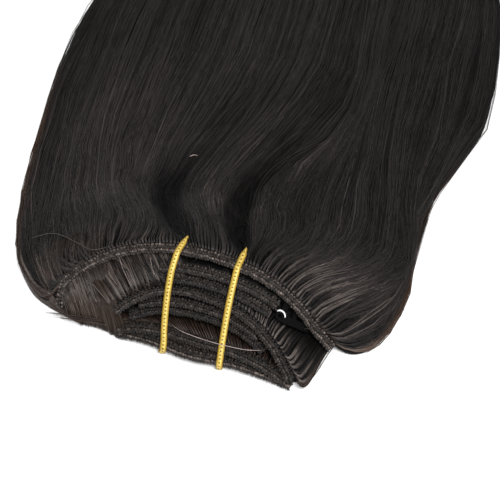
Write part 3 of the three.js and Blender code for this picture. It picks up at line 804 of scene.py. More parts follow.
def strand_mesh(name, paths, radius, tone, thin):
    """Closed three-sided strands along paths of (strand, point, 3), as one mesh."""
    count, length = paths.shape[:2]
    tangent = np.gradient(paths, axis=1)
    tangent /= np.linalg.norm(tangent, axis=-1, keepdims=True) + 1e-9
    side = np.cross(tangent, [0, 0, 1])
    side /= np.linalg.norm(side, axis=-1, keepdims=True) + 1e-9
    normal = np.cross(side, tangent)
    rings = [paths + radius[..., None] * (math.cos(a) * side + math.sin(a) * normal)
             for a in (math.pi / 2, math.pi * 7 / 6, math.pi * 11 / 6)]
    points = np.stack(rings, 2)
    base = (np.arange(count)[:, None] * length + np.arange(length - 1)) * 3
    walls = []
    for a, b in ((0, 1), (1, 2), (2, 0)):
        walls.append(np.stack([base + a, base + a + 3, base + b + 3, base + b], -1).reshape(-1, 4))
    start = np.arange(count) * length * 3
    end = start + (length - 1) * 3
    caps = np.concatenate([np.stack([start, start + 1, start + 2], -1),
                           np.stack([end + 2, end + 1, end], -1)])
    spread = lambda v: np.repeat(np.broadcast_to(v, (count, length))[..., None], 3, -1)
    return make_mesh(name, points.reshape(-1, 3), [np.concatenate(walls), caps], material_for("strand"),
                     {"tone": spread(tone), "thin": spread(thin)})


def strands(sheaf, k, u, runs, seed, lift=(-0.9, 0.5), width=0.4, clump=0.5, wave=1.0):
    """Loose strands over a weft's hair: their paths, radii, tones with painted sheen and shade, and how thin
    the hair is there.
    """
    rng = np.random.default_rng(seed)
    count = len(u)
    number = np.arange(count)[:, None]
    u = np.broadcast_to(u[:, None], (count, len(runs)))
    run = np.broadcast_to(runs, u.shape)
    broad = 46 if k == TOP else 26
    _, _, root_lock = gather(u, 0, ROOT_LOCKS[k], 11 + k)
    lasting = 0.42 + 0.3 * ripple(root_lock * 1.13, 0.5, 55 + k)
    leaving = smooth(run, 0, 0.1)
    pinch = clump * (1 - leaving) + 0.5 * clump * leaving * (1 - smooth(run, 0.1, lasting + 0.1))
    gathered, root_place, root_lock = gather(u, pinch, ROOT_LOCKS[k], 11 + k)
    side = smooth(np.abs(u), 0.2, 0.65)
    tufts = ROOT_LOCKS[k] * 0.36
    _, tuft_place, tuft = gather(u, 0, tufts, 71 + k)
    outer = 0.3 + 0.7 * side
    held = smooth(run, 0.02, 0.1) * (1 - smooth(run, 0.2, 0.6)) * outer
    gathered = gathered - tuft_place / tufts * 0.18 * held
    parted = smooth(np.abs(tuft_place), 0.6, 1) * (0.7 + 0.6 * ripple(tuft * 1.9, 0.5, 72 + k)) * outer
    parted = parted * smooth(run, 0, 0.03) * (1 - smooth(run, 0.16, 0.45))
    _, place, lock = gather(u, 0, broad, 31 + k)
    drawn = 0.1 * smooth(run, 0.2, 0.8) + 0.3 * smooth(run, 1.6, 2)
    lean = 0.018 * ripple(u * 9 + 20, run * 1.6, 8) * smooth(run, 0.1, 0.6)
    fine = 0.014 * ripple(root_lock * 1.37, run * 4, seed + 5) * smooth(run, 0.02, 0.4)
    stray = (rng.normal(0, 0.016, (count, 1)) * smooth(run, 0.03, 0.9)
             * ripple(number * 0.37, run * 4, seed + 2))
    placed = np.clip(gathered - place / broad * drawn + (lean + fine) * wave + stray, -1.01, 1.01)
    extra = -9 * np.abs(place) + 5 * ripple(lock, 0.5, 77 + k) + rng.normal(0, 5, (count, 1))
    x, y = sheaf.plan(k, placed, run, extra)
    if k == TOP:
        crimp = (0.8 * np.sin(y / 7.5 + 9 * ripple(u * 6 + 9, 0.5, 9))
                 + 0.4 * np.sin(y / 4.1 + root_lock * 0.6))
        own_crimp = rng.normal(0, 0.5, (count, 1)) * np.sin(y / 9 + 6 * rng.uniform(0, 1, (count, 1)))
        crimp = crimp * smooth(y, 20, 60) + own_crimp
        x = x + crimp * smooth(y, 5, 30) * (1 - 0.5 * smooth(y, 120, 260)) * wave
        for tie in sheaf.ties.values():
            x = x - (x - tie) * 0.5 * np.exp(-((x - tie) / 7) ** 2) * np.exp(-((y - 8) / 6) ** 2)
    top = np.maximum(sheaf.surface(k, x, y, run)[0], 0.6)
    high = rng.uniform(*lift, (count, 1)) + 0.25 * ripple(number * 0.71, run * 6, seed + 3)
    grown = smooth(run, 0.04, 0.4)
    far = 1 - 0.65 * smooth(run, 0.8, 1.3) if k == TOP else 1
    furrow = (0.35 * np.abs(place) ** 3 * grown * far
              + 0.7 * root_place ** 2 * (1 - smooth(run, 0.2, 0.6)) * smooth(run, 0, 0.03))
    furrow = (furrow + 0.9 * parted
              - 0.5 * ripple(root_lock * 2.3, 0.5, 66 + k)
              * smooth(run, 0.02, 0.15) * (1 - smooth(run, 0.4, 0.9)))
    z = (top - furrow + high * np.clip(grown + 0.3, 0, 1)
         + 0.5 * smooth(run, 0, 0.05) * (1 - smooth(run, 0.1, 0.5)))
    taper = np.clip((runs[-1] - run) / 0.2, 0.25, 1) * np.clip(0.8 + run * 3, 0, 1)
    radius = width / 2 * rng.uniform(0.65, 1.3, (count, 1)) * taper
    z = np.maximum(z, radius + 0.15)
    right = side * (u > 0)
    near = 1 - smooth(run, 0.06 + 0.12 * side + 0.15 * right, 0.2 + 0.45 * side + 0.35 * right)
    if k < TOP:
        near = 1 - smooth(run, 0.15, 0.5)
    sheen = (0.1 + 0.34 * side) * np.where(u < 0, 0.42, 1) * near * rng.uniform(0.3, 1.5, (count, 1))
    sheen = sheen * (1 if k == TOP else 1.7 if k == WIDE_ARCH else 0)
    shadow = 0.75 * parted
    if k < TOP:
        dark_x, dark_y, radius_of_dark = SIDE_SHADOW
        shadow = shadow + 0.05 + np.exp(-((x - dark_x) ** 2 + (y - dark_y) ** 2) / radius_of_dark ** 2)
    tone = 0.09 + 0.42 * rng.beta(1.6, 2.6, (count, 1)) + 0.08 * ripple(root_lock * 0.9, run * 2, seed + 4)
    tone = tone + 0.14 * ripple(number * 0.57, run * 9, seed + 9)
    tone = tone + 0.24 * rng.uniform(0, 1, (count, 1)) ** 8
    tone = tone + sheen * (1 - 0.9 * root_place ** 2 + 0.5 * ripple(root_lock * 1.9, 0.5, seed + 6))
    if k == TOP:
        grip = smooth(run, 0, 0.05) * (1 - smooth(run, 0.3, 0.7))
        tone = tone + (0.24 * ripple(tuft * 2.1, run * 2, 73) - 0.04) * grip
        # Painted shade in the valleys of the pile, and painted glints on its swells.
        rise = sheaf.rise(x, y)
        tone = tone - 1.0 * np.clip(-rise / 6, 0, 1)
        glint = 0.06 + 0.5 * rng.uniform(0, 1, (count, 1)) ** 6
        tone = tone + glint * np.clip(rise / 3, 0, 1) * smooth(y, 15, 40)
        # Painted sheen on the left half of the far hair.
        tone = tone + 0.1 * smooth(-u, 0.3, 0.6) * smooth(y, 15, 50) * (1 - smooth(y, 130, 220))
        tone = tone + 0.05 * ripple(x / 26, y / 40, 61) - 0.05 * smooth(u, -0.1, 0.3)
    tone = np.clip(tone - shadow, 0, 1)
    edge = smooth(np.abs(placed), 0.98, 1.01)
    thin = 0.42 * edge * (1 - smooth(y, 100, 160)) + 0.4 * smooth(run, 1.9, 2.0)
    if k <= MOUTH_ABOVE:
        thin = thin + 0.22 * (1 - smooth(y, -28, -12))
    return np.stack([x, y, z], -1), radius, tone, np.clip(thin, 0, 1)


def reach_to_crown(sheaf, x, y, lean):
    """How far a strand runs up to the left from x, y to the top weft's header, and that header's y there."""
    reach = np.full(x.shape, 20.0)
    span = WEFTS[TOP]["span"] / 2 * sheaf.crown_span
    for _ in range(12):
        v = np.clip((x - reach * np.cos(lean) - WEFTS[TOP]["middle"] * sheaf.crown_span) / span, -1, 1)
        _, line, _, _ = sheaf.header_plan(TOP, v)
        longest = np.minimum(34, (x + 73) / np.cos(lean))
        reach = 0.5 * reach + 0.5 * np.clip((line + 1 - y) / np.sin(lean), 3, np.maximum(4, longest))
    return reach, line


def fold_strands(sheaf, count, width, seed):
    """Hair of the lower wefts that folds out to the left and turns in under itself on the table."""
    rng = np.random.default_rng(seed)
    steps = np.linspace(0, 1, 8)[None]
    t = np.abs(rng.uniform(0, len(FOLD_EDGE) - 1.1, count) + rng.normal(0, 0.2, count))
    t = np.sort(len(FOLD_EDGE) - 1.05 - t)[:, None]
    start_x, start_y = (np.interp(t, np.arange(len(FOLD_EDGE)), [p[i] for p in FOLD_EDGE]) for i in (0, 1))
    start_y = start_y + rng.normal(0, 0.5, (count, 1))
    loose = 1.1 * rng.exponential(1, (count, 1)) * smooth(start_x, -48, -42)
    start_x, start_y = start_x + loose, start_y - 0.15 * loose
    lean = np.radians(50 + 5 * ripple(t * 2.3, 0.5, seed) + rng.normal(0, 3, (count, 1)))
    reach, line = reach_to_crown(sheaf, start_x, start_y, lean)
    low = smooth(-start_x, 69, 73)
    reach = reach + (7 - reach) * low
    bend = 1.2 * ripple(t * 3.1, 0.5, seed + 1) * np.sin(math.pi * steps)
    x = start_x - reach * np.cos(lean) * steps + bend
    y = start_y + reach * np.sin(lean) * steps + bend * 0.6
    end = sheaf.header_height(TOP, np.clip(x[:, -1:], -73, 0), line) - sheaf.header_thickness / 2 - 0.8
    end = end + (4 - end) * low
    z = 0.6 + (end - 0.6) * (steps ** 0.75) + rng.uniform(0, 1.6, (count, 1)) * np.sin(math.pi * steps)
    cover = sheaf.surface(WIDE_ARCH, x, y, np.full(x.shape, 0.5))[0]
    z = np.maximum(z, (cover + rng.uniform(0.2, 1.2, (count, 1))) * smooth(steps, 0, 0.2) * (1 - low))
    radius = width / 2 * rng.uniform(0.6, 1.2, (count, 1)) * np.clip(0.5 + 3 * steps, 0, 1)
    tone = 1.1 * rng.beta(1, 1.8, (count, 1)) + 0.35 * ripple(t * 7, steps * 2, seed + 2) + 0.05
    tone = np.clip(tone, 0, 1) * (1 - 0.5 * smooth(start_x, -49, -42))
    return np.stack([x, y, z], -1), radius, tone, 0.08 + 0.2 * (1 - smooth(steps, 0.05, 0.5)) + 0 * x


def panel_strands(sheaf, count, width, seed):
    """The locks that sweep left from the wide arch and tuck under the top weft's left foot."""
    rng = np.random.default_rng(seed)
    k = WIDE_ARCH
    u0 = np.sort(rng.beta(1, 1.7, count) * 0.72 - 1)[:, None]
    steps = np.linspace(0, 1, 8)[None]
    _, place, lock = gather(u0, 0, ROOT_LOCKS[k], 11 + k)
    close = 0.45 - 0.35 * smooth(steps, 0.02, 0.5)
    u = u0 - place / ROOT_LOCKS[k] * close
    root = sheaf.header_point(k, u, sheaf.header_width / 2 + 0.1, sheaf.header_thickness * 0.4)
    lean = np.interp(u0, [-1, -0.94, -0.8, -0.5, -0.2, 0], [40, 42, 46, 52, 64, 85])
    lean = lean + 4 * ripple(lock * 0.7, 0.5, seed) + rng.normal(0, 2.5, (count, 1))
    lean = np.radians(np.maximum(12, lean))
    reach, line = reach_to_crown(sheaf, root[:, -1:, 0], root[:, -1:, 1], lean)
    bend = 1.6 * ripple(lock * 0.77, 0.5, seed + 1) * np.sin(math.pi * steps)
    x = root[..., 0] - reach * np.cos(lean) * steps + bend * np.sin(lean)
    y = root[..., 1] + reach * np.sin(lean) * steps + bend * np.cos(lean)
    end = sheaf.header_height(TOP, np.clip(x[:, -1:], -73, 0), line) - sheaf.header_thickness / 2 - 0.6
    z = root[..., 2] + (end - root[..., 2]) * steps ** 0.8 + 2.2 * np.sin(math.pi * steps) ** 0.8
    z = (z - 0.5 * place ** 2 * np.sin(math.pi * steps)
         + rng.uniform(-0.8, 0.3, (count, 1)) * np.minimum(1, steps * 4))
    radius = width / 2 * rng.uniform(0.6, 1.2, (count, 1)) * np.ones_like(steps)
    # Darker at the edges of each lock, as painted shade between the locks.
    tone = (0.95 * rng.beta(1.1, 2.2, (count, 1)) + 0.2 * ripple(lock * 1.9, steps * 2, seed + 2)
            + 0.06 - 0.3 * place ** 2)
    tufts = 20
    _, wide, tuft = gather(u0, 0, tufts, 91)
    # Painted shade in the gaps between tufts.
    tone = tone + 0.12 + 0.22 * ripple(tuft * 1.7, steps * 1.5, 92) - 0.7 * smooth(np.abs(wide), 0.5, 0.95)
    z = z - 1.1 * wide ** 2 * np.sin(math.pi * steps)
    # Painted shadow where the strands go under the top weft's header.
    tone = tone - 0.5 * smooth(steps, 0.84, 0.97)
    thin = 0.06 + 0.1 * (1 - smooth(u0, -1, -0.93)) + 0 * steps
    tone = 0.32 + (tone - 0.32) * 1.35
    return np.stack([x, y, z], -1), radius, np.clip(tone, 0, 1), thin


def foot_strands(sheaf, count, width, seed):
    """The steep tufts that leave the top weft's header at its left foot."""
    rng = np.random.default_rng(seed)
    steps = np.linspace(0, 1, 9)[None]
    marks = [-1.3, -0.8, 0, 1]
    s = np.sort(rng.uniform(marks[0], marks[-1], count))[:, None]
    tufts = 15
    _, place, tuft = gather(s, 0, tufts, seed)
    s = s - place / tufts * 0.5
    offset = sheaf.header_width / 2 + 0.1
    on_foot = foot_frame(sheaf, np.clip(s[:, 0], 0, 1), offset, 0.3)[0]
    on_band = sheaf.header_point(TOP, -1 - 0.2 * np.minimum(s[:, 0], 0), offset, 0.3)
    root = np.where(s > 0, on_foot, on_band)[:, None]
    lean = np.radians(np.interp(s, marks, [82, 76, 68, 55]) + rng.normal(0, 2.5, (count, 1)))
    lean = lean + np.radians(5) * ripple(tuft * 0.9, 0.5, seed + 1)
    reach = np.interp(s, marks, [20, 26, 36, 44]) * rng.uniform(0.7, 1.1, (count, 1))
    fanned = 0.35 * place * rng.uniform(0.6, 1, (count, 1)) * smooth(steps, 0, 0.5)
    bend = 2.2 * np.sin(math.pi * steps) - fanned
    x = root[..., 0] - reach * np.cos(lean) * steps - bend * np.sin(lean)
    y = root[..., 1] + reach * np.sin(lean) * steps - bend * np.cos(lean)
    top = sheaf.surface(TOP, x, y, np.full(x.shape, 0.5))[0] + rng.uniform(0.1, 1.0, (count, 1))
    z = root[..., 2] + (top - root[..., 2]) * smooth(steps, 0, 0.2) - 0.8 * place ** 2 * smooth(steps, 0, 0.1)
    z = np.maximum(z - 1.6 * smooth(steps, 0.75, 1), 0.4)
    radius = width / 2 * rng.uniform(0.6, 1.2, (count, 1)) * np.clip(3 * (1.1 - steps), 0.2, 1)
    tone = 0.1 + 0.85 * rng.beta(1.1, 2.1, (count, 1)) + 0.15 * ripple(tuft * 1.7, steps * 2, seed + 2)
    tone = tone - 0.2 * smooth(-s, 0, 0.6) + 0.12 * smooth(s, 0, 0.4)
    # Darker in the gaps between tufts, as painted shade, and towards the strand ends.
    tone = tone - 0.5 * smooth(np.abs(place), 0.55, 1) - 0.2 * smooth(steps, 0.4, 1)
    return np.stack([x, y, z], -1), radius, np.clip(tone, 0, 1), 0.07 + 0.08 * smooth(s, 0, 1) + 0 * x


def lobe_strands(sheaf, count, width, seed):
    """The hair that turns up round the edge of the left lobe, from under the panel."""
    rng = np.random.default_rng(seed)
    edge = np.array(LOBE_EDGE, float)
    run = np.concatenate([[0], np.cumsum(np.linalg.norm(np.diff(edge, axis=0), axis=1))])
    line_points = 60
    even = np.linspace(0, run[-1], line_points)
    line = np.stack([np.interp(even, run, edge[:, i]) for i in (0, 1)], -1)
    for _ in range(30):
        line[1:-1] = (line[:-2] + line[1:-1] * 2 + line[2:]) / 4
    course = np.gradient(line, axis=0)
    course /= np.linalg.norm(course, axis=1, keepdims=True)
    start, up = rng.uniform(0, 0.45, (count, 1)), rng.uniform(0, 1, (count, 1))
    steps = np.linspace(0, 1, 10)[None]
    at = np.clip(start + rng.uniform(0.35, 0.6, (count, 1)) * steps, 0, 1) * (line_points - 1)
    x, y, cx, cy = (np.interp(at, np.arange(line_points), column) for column in (*line.T, *course.T))
    up = np.clip(up + 0.12 * ripple(start * 9, steps * 3, seed) * steps, 0, 1)
    inward = 2.6 * up ** 2 + 0.2
    x, y = x + cy * inward, y - cx * inward
    top = sheaf.surface(TOP, x + cy, y - cx, np.full(x.shape, 0.5))[0]
    top = np.minimum(top, 10 - 6 * smooth(x, -84, -77))
    z = 0.4 + (top + 0.2) * up
    taper = np.clip(6 * np.minimum(steps, 1 - steps) + 0.3, 0, 1)
    radius = width / 2 * rng.uniform(0.6, 1.2, (count, 1)) * taper
    tone = 0.22 + 0.7 * rng.beta(1.3, 1.8, (count, 1)) + 0.2 * ripple(up * 7, steps * 2, seed + 1)
    return np.stack([x, y, z], -1), radius, np.clip(tone, 0, 1), 0.28 - 0.18 * up


def fringe_strands(sheaf, count, width, seed):
    """Thin hair that hangs out past the left ends of the two lowest headers."""
    rng = np.random.default_rng(seed)
    steps = np.linspace(0, 1, 10)[None]
    which = rng.integers(0, 2, (count, 1))
    u = -1 + rng.beta(1, 2.5, (count, 1)) * 0.25
    root = np.where(which[..., None] == 0, sheaf.header_point(0, u, sheaf.header_width / 2, 0),
                    sheaf.header_point(1, u, sheaf.header_width / 2, 0))
    lean = np.radians(rng.uniform(-9, 24, (count, 1)))
    reach = rng.uniform(24, 44, (count, 1))
    bend = rng.uniform(2, 9, (count, 1))
    x = root[..., 0] - reach * np.cos(lean) * steps
    y = root[..., 1] + reach * np.sin(lean) * steps + bend * steps ** 2.2
    z = (root[..., 2] * (1 - steps) + (0.6 + rng.uniform(0, 3, (count, 1))) * steps
         + 2 * np.sin(math.pi * steps))
    radius = width / 2 * rng.uniform(0.5, 0.9, (count, 1)) * (1.1 - 0.6 * steps)
    tone = np.clip(0.5 * rng.beta(2, 2, (count, 1)) + 0.25 + 0 * steps, 0, 1)
    thin = 0.3 * rng.uniform(0.3, 1, (count, 1)) + 0 * steps
    return np.stack([x, y, np.maximum(z, 0.4)], -1), radius, tone, thin


def fuzz_strands(sheaf, k, width, seed):
    """Short hair ends that stand out of a header between its stitches."""
    rng = np.random.default_rng(seed)
    count = int(WEFTS[k]["span"] * sheaf.crown_span * (5 if k == TOP else 2.6))
    steps = np.linspace(0, 1, 4)[None]
    u = rng.uniform(-1, 1, (count, 1))
    half = WEFTS[k]["span"] / 2 * sheaf.crown_span
    start = rng.uniform(-0.9, 0.9, (count, 1)) * sheaf.header_width / 2
    reach, slant = rng.uniform(1.2, 4.2, (count, 1)), rng.uniform(-0.9, 0.9, (count, 1))
    toward = np.where(rng.uniform(size=(count, 1)) < 0.7, 1, -1)
    along = u + reach * slant * steps / half
    across = start + toward * reach * steps
    up = sheaf.header_thickness * 0.55 + rng.uniform(0.2, 0.9, (count, 1)) * np.sin(math.pi * steps)
    path = sheaf.header_point(k, np.clip(along, -1.02, 1.02), across, up)
    radius = width * 0.35 * rng.uniform(0.5, 1, (count, 1)) * (1.1 - 0.7 * steps)
    tone = np.clip(rng.uniform(0.2, 0.85, (count, 1)) + 0 * steps, 0, 1)
    return path, radius, tone, 0.1 + 0 * radius


def loose_hair(sheaf, name, plan, lift, width, kind, tone):
    """A single loose hair laid over the pile along a given plan line."""
    points = 40
    plan = np.array(plan, float)
    knots_at = np.concatenate([[0], np.cumsum(np.linalg.norm(np.diff(plan[:, :2], axis=0), axis=1))])
    even = np.linspace(0, knots_at[-1], points)
    line = np.stack([np.interp(even, knots_at, plan[:, i]) for i in range(plan.shape[1])], -1)
    for _ in range(10):
        line[1:-1] = (line[:-2] + line[1:-1] * 2 + line[2:]) / 4
    x, y = line[:, 0], line[:, 1]
    z = line[:, 2] if plan.shape[1] > 2 else sheaf.surface(TOP, x, y, np.full_like(x, 1.0))[0]
    path = np.stack([x, y, z + lift], -1)[None]
    ends = np.minimum(1, 0.25 + 8 * np.minimum(np.linspace(0, 1, points), np.linspace(1, 0, points)))[None]
    obj = strand_mesh(name, path, width / 2 * ends, np.full((1, points), tone), np.zeros((1, points)))
    obj.data.materials[0] = material_for(kind)
    return obj


# Headers


def knot_tree():
    """Geometry nodes that set a smooth knot on every point and turn it along the header."""
    tree = bpy.data.node_groups.new("header_knots", "GeometryNodeTree")
    face = tree.interface
    face.new_socket("Geometry", in_out="INPUT", socket_type="NodeSocketGeometry")
    for name, default in (
        ("Knot Length", 0.001),
        ("Knot Width", 0.001),
        ("Knot Height", 0.001),
        ("Slant", 0.0),
    ):
        face.new_socket(name, in_out="INPUT", socket_type="NodeSocketFloat").default_value = default
    face.new_socket("Material", in_out="INPUT", socket_type="NodeSocketMaterial")
    face.new_socket("Geometry", in_out="OUTPUT", socket_type="NodeSocketGeometry")
    nodes, links = tree.nodes, tree.links
    start, end = nodes.new("NodeGroupInput"), nodes.new("NodeGroupOutput")
    to_points = nodes.new("GeometryNodeMeshToPoints")
    ball = nodes.new("GeometryNodeMeshUVSphere")
    ball.inputs["Radius"].default_value = 0.5
    ball.inputs["Segments"].default_value = 8
    ball.inputs["Rings"].default_value = 5
    along, up = (
        add_node(nodes, "GeometryNodeInputNamedAttribute", data_type="FLOAT_VECTOR") for _ in range(2))
    along.inputs["Name"].default_value = "along"
    up.inputs["Name"].default_value = "up"
    turn = add_node(nodes, "FunctionNodeAxesToRotation", primary_axis="Z", secondary_axis="X")
    links.new(up.outputs["Attribute"], turn.inputs["Primary Axis"])
    links.new(along.outputs["Attribute"], turn.inputs["Secondary Axis"])
    slant = nodes.new("ShaderNodeCombineXYZ")
    links.new(start.outputs["Slant"], slant.inputs["Z"])
    spin = add_node(nodes, "FunctionNodeEulerToRotation")
    links.new(slant.outputs[0], spin.inputs[0])
    both = add_node(nodes, "FunctionNodeRotateRotation", rotation_space="LOCAL")
    links.new(turn.outputs[0], both.inputs[0])
    links.new(spin.outputs[0], both.inputs[1])
    size = nodes.new("ShaderNodeCombineXYZ")
    for axis, name in zip("XYZ", ("Knot Length", "Knot Width", "Knot Height")):
        links.new(start.outputs[name], size.inputs[axis])
    vary = add_node(nodes, "FunctionNodeRandomValue", data_type="FLOAT")
    vary.inputs["Min"].default_value, vary.inputs["Max"].default_value = 0.75, 1.2
    vary.inputs["Seed"].default_value = 7
    scale = add_node(nodes, "ShaderNodeVectorMath", operation="SCALE")
    links.new(size.outputs[0], scale.inputs[0])
    links.new(vary.outputs["Value"], scale.inputs["Scale"])
    place = nodes.new("GeometryNodeInstanceOnPoints")
    links.new(start.outputs["Geometry"], to_points.inputs["Mesh"])
    links.new(to_points.outputs["Points"], place.inputs["Points"])
    links.new(ball.outputs["Mesh"], place.inputs["Instance"])
    links.new(both.outputs[0], place.inputs["Rotation"])
    links.new(scale.outputs[0], place.inputs["Scale"])
    realize, smooth_shade, paint = (nodes.new(n) for n in (
        "GeometryNodeRealizeInstances", "GeometryNodeSetShadeSmooth", "GeometryNodeSetMaterial"))
    links.new(place.outputs["Instances"], realize.inputs[0])
    links.new(realize.outputs[0], smooth_shade.inputs[0])
    links.new(smooth_shade.outputs[0], paint.inputs[0])
    links.new(start.outputs["Material"], paint.inputs["Material"])
    links.new(paint.outputs[0], end.inputs[0])
    return tree


def knots(name, points, along, up, size, slant, material):
    """Knots on points, made with the knot tree and taken as a plain mesh."""
    tree = bpy.data.node_groups.get("header_knots") or knot_tree()
    mesh = bpy.data.meshes.new(name + "_points")
    mesh.vertices.add(len(points))
    mesh.vertices.foreach_set("co", (np.asarray(points) / 1000).astype(np.float32).ravel())
    for key, values in (("along", along), ("up", up)):
        mesh.attributes.new(key, "FLOAT_VECTOR", "POINT").data.foreach_set(
            "vector", np.asarray(values, np.float32).ravel())
    source = bpy.data.objects.new(name + "_source", mesh)
    bpy.context.scene.collection.objects.link(source)
    modifier = source.modifiers.new("Knots", "NODES")
    modifier.node_group = tree
    values = {"Knot Length": size[0] / 1000, "Knot Width": size[1] / 1000, "Knot Height": size[2] / 1000,
              "Slant": slant, "Material": material}
    for item in tree.interface.items_tree:
        if item.item_type == "SOCKET" and item.in_out == "INPUT" and item.name in values:
            modifier[item.identifier] = values[item.name]
    graph = bpy.context.evaluated_depsgraph_get()
    result = bpy.data.meshes.new_from_object(source.evaluated_get(graph))
    bpy.data.objects.remove(source)
    result.name = name
    obj = bpy.data.objects.new(name, result)
    bpy.context.scene.collection.objects.link(obj)
    if not len(result.polygons):
        raise RuntimeError(f"{name} has no knots")
    return obj


def header_frame(sheaf, k, u, across, up):
    """Points of a header with its direction and its upward direction there."""
    points = sheaf.header_point(k, u, across, up)
    step = 0.002
    along = sheaf.header_point(k, u + step, across, up) - sheaf.header_point(k, u - step, across, up)
    out = sheaf.header_point(k, u, across + 0.5, up) - sheaf.header_point(k, u, across - 0.5, up)
    along /= np.linalg.norm(along, axis=-1, keepdims=True)
    normal = np.cross(along, out)
    return points, along, normal / np.linalg.norm(normal, axis=-1, keepdims=True)


def foot_frame(sheaf, s, across, up):
    """Points of the top header's left end with its direction and its upward direction there."""
    along = sheaf.foot(s - 0.02) - sheaf.foot(s + 0.02)
    along /= np.linalg.norm(along, axis=-1, keepdims=True)
    _, _, ox, oy = sheaf.header_plan(TOP, np.array([-1.0]))
    share = np.asarray(s, float)[..., None]
    out = np.array([ox[0], oy[0], 0]) * (1 - share) + np.array([-0.9, 0.35, 0.1]) * share
    normal = np.cross(along, out)
    normal /= np.linalg.norm(normal, axis=-1, keepdims=True)
    return sheaf.foot(s) + np.cross(normal, along) * across + normal * up, along, normal


def even_places(sheaf, k, pitch, shift=0.0):
    """Places u along a header that lie one pitch apart."""
    u = np.linspace(-1, 1, 400)
    points = sheaf.header_point(k, u, 0, 0)
    run = np.concatenate([[0], np.cumsum(np.linalg.norm(np.diff(points, axis=0), axis=1))])
    count = max(3, int(run[-1] / pitch))
    return np.interp((np.arange(count) + 0.5 + shift) * run[-1] / count, run, u)


def ribbon(name, points, sides, normals, section, material, closed=False, spread=None):
    """A closed ribbon of a section given as (across, up) pairs, swept through points."""
    n, m = len(points), len(section)
    rings = np.stack([points + sides * a + normals * b for a, b in section], 1)
    if spread is not None:
        rings = np.stack([points + sides * (a * spread[:, :1]) + normals * b for a, b in section], 1)
    i = np.arange(n if closed else n - 1)
    faces = []
    for j in range(m):
        q = (j + 1) % m
        faces.append(np.stack([i * m + j, i * m + q, (i + 1) % n * m + q, (i + 1) % n * m + j], -1))
    groups = [np.concatenate(faces)]
    if not closed:
        groups.append(np.array([list(range(m))[::-1], [(n - 1) * m + j for j in range(m)]]))
    return make_mesh(name, rings.reshape(-1, 3), groups, material)


# Operators


class SheafSizes(bpy.types.PropertyGroup):
    """The sizes that the sheaf is worked out from."""

    hair_length: bpy.props.FloatProperty(
        name="Hair Length", description="From a header to the tips",
        default=0.406, min=0.3, max=0.6, unit="LENGTH")
    spread_width: bpy.props.FloatProperty(
        name="Spread Width", description="Width that the outline's shares are of",
        default=0.27, min=0.2, max=0.35, unit="LENGTH")
    crown_span: bpy.props.FloatProperty(
        name="Crown Span", description="Top weft's header from foot to foot",
        default=0.14, min=0.1, max=0.18, unit="LENGTH")
    sheaf_depth: bpy.props.FloatProperty(
        name="Sheaf Depth", description="From the top weft's header forward to the lowest one",
        default=0.039, min=0.03, max=0.05, unit="LENGTH")
    header_width: bpy.props.FloatProperty(
        name="Header Width", description="Width of a sewn header",
        default=0.0055, min=0.003, max=0.008, unit="LENGTH")
    header_thickness: bpy.props.FloatProperty(
        name="Header Thickness", description="Thickness of a sewn header",
        default=0.0022, min=0.001, max=0.004, unit="LENGTH")
    clip_width: bpy.props.FloatProperty(
        name="Clip Width", description="Length of a snap clip along its header",
        default=0.022, min=0.018, max=0.03, unit="LENGTH")
    clip_depth: bpy.props.FloatProperty(
        name="Clip Depth", description="Depth of a snap clip under the hair",
        default=0.011, min=0.008, max=0.015, unit="LENGTH")
    clip_thickness: bpy.props.FloatProperty(
        name="Clip Thickness", description="Thickness of a closed snap clip",
        default=0.0012, min=0.0008, max=0.002, unit="LENGTH")
    tie_width: bpy.props.FloatProperty(
        name="Tie Width", description="Width of a twist tie",
        default=0.004, min=0.003, max=0.006, unit="LENGTH")
    tie_thickness: bpy.props.FloatProperty(
        name="Tie Thickness", description="Thickness of a twist tie at its wire",
        default=0.0008, min=0.0005, max=0.0012, unit="LENGTH")
    strand_width: bpy.props.FloatProperty(
        name="Strand Width", description="Width of a loose strand of a few hairs",
        default=0.0004, min=0.0001, max=0.001, unit="LENGTH")
    knot_pitch: bpy.props.FloatProperty(
        name="Knot Pitch", description="From one root knot to the next",
        default=0.0018, min=0.0015, max=0.005, unit="LENGTH")
    stitch_pitch: bpy.props.FloatProperty(
        name="Stitch Pitch", description="From one stitch to the next",
        default=0.0015, min=0.001, max=0.003, unit="LENGTH")


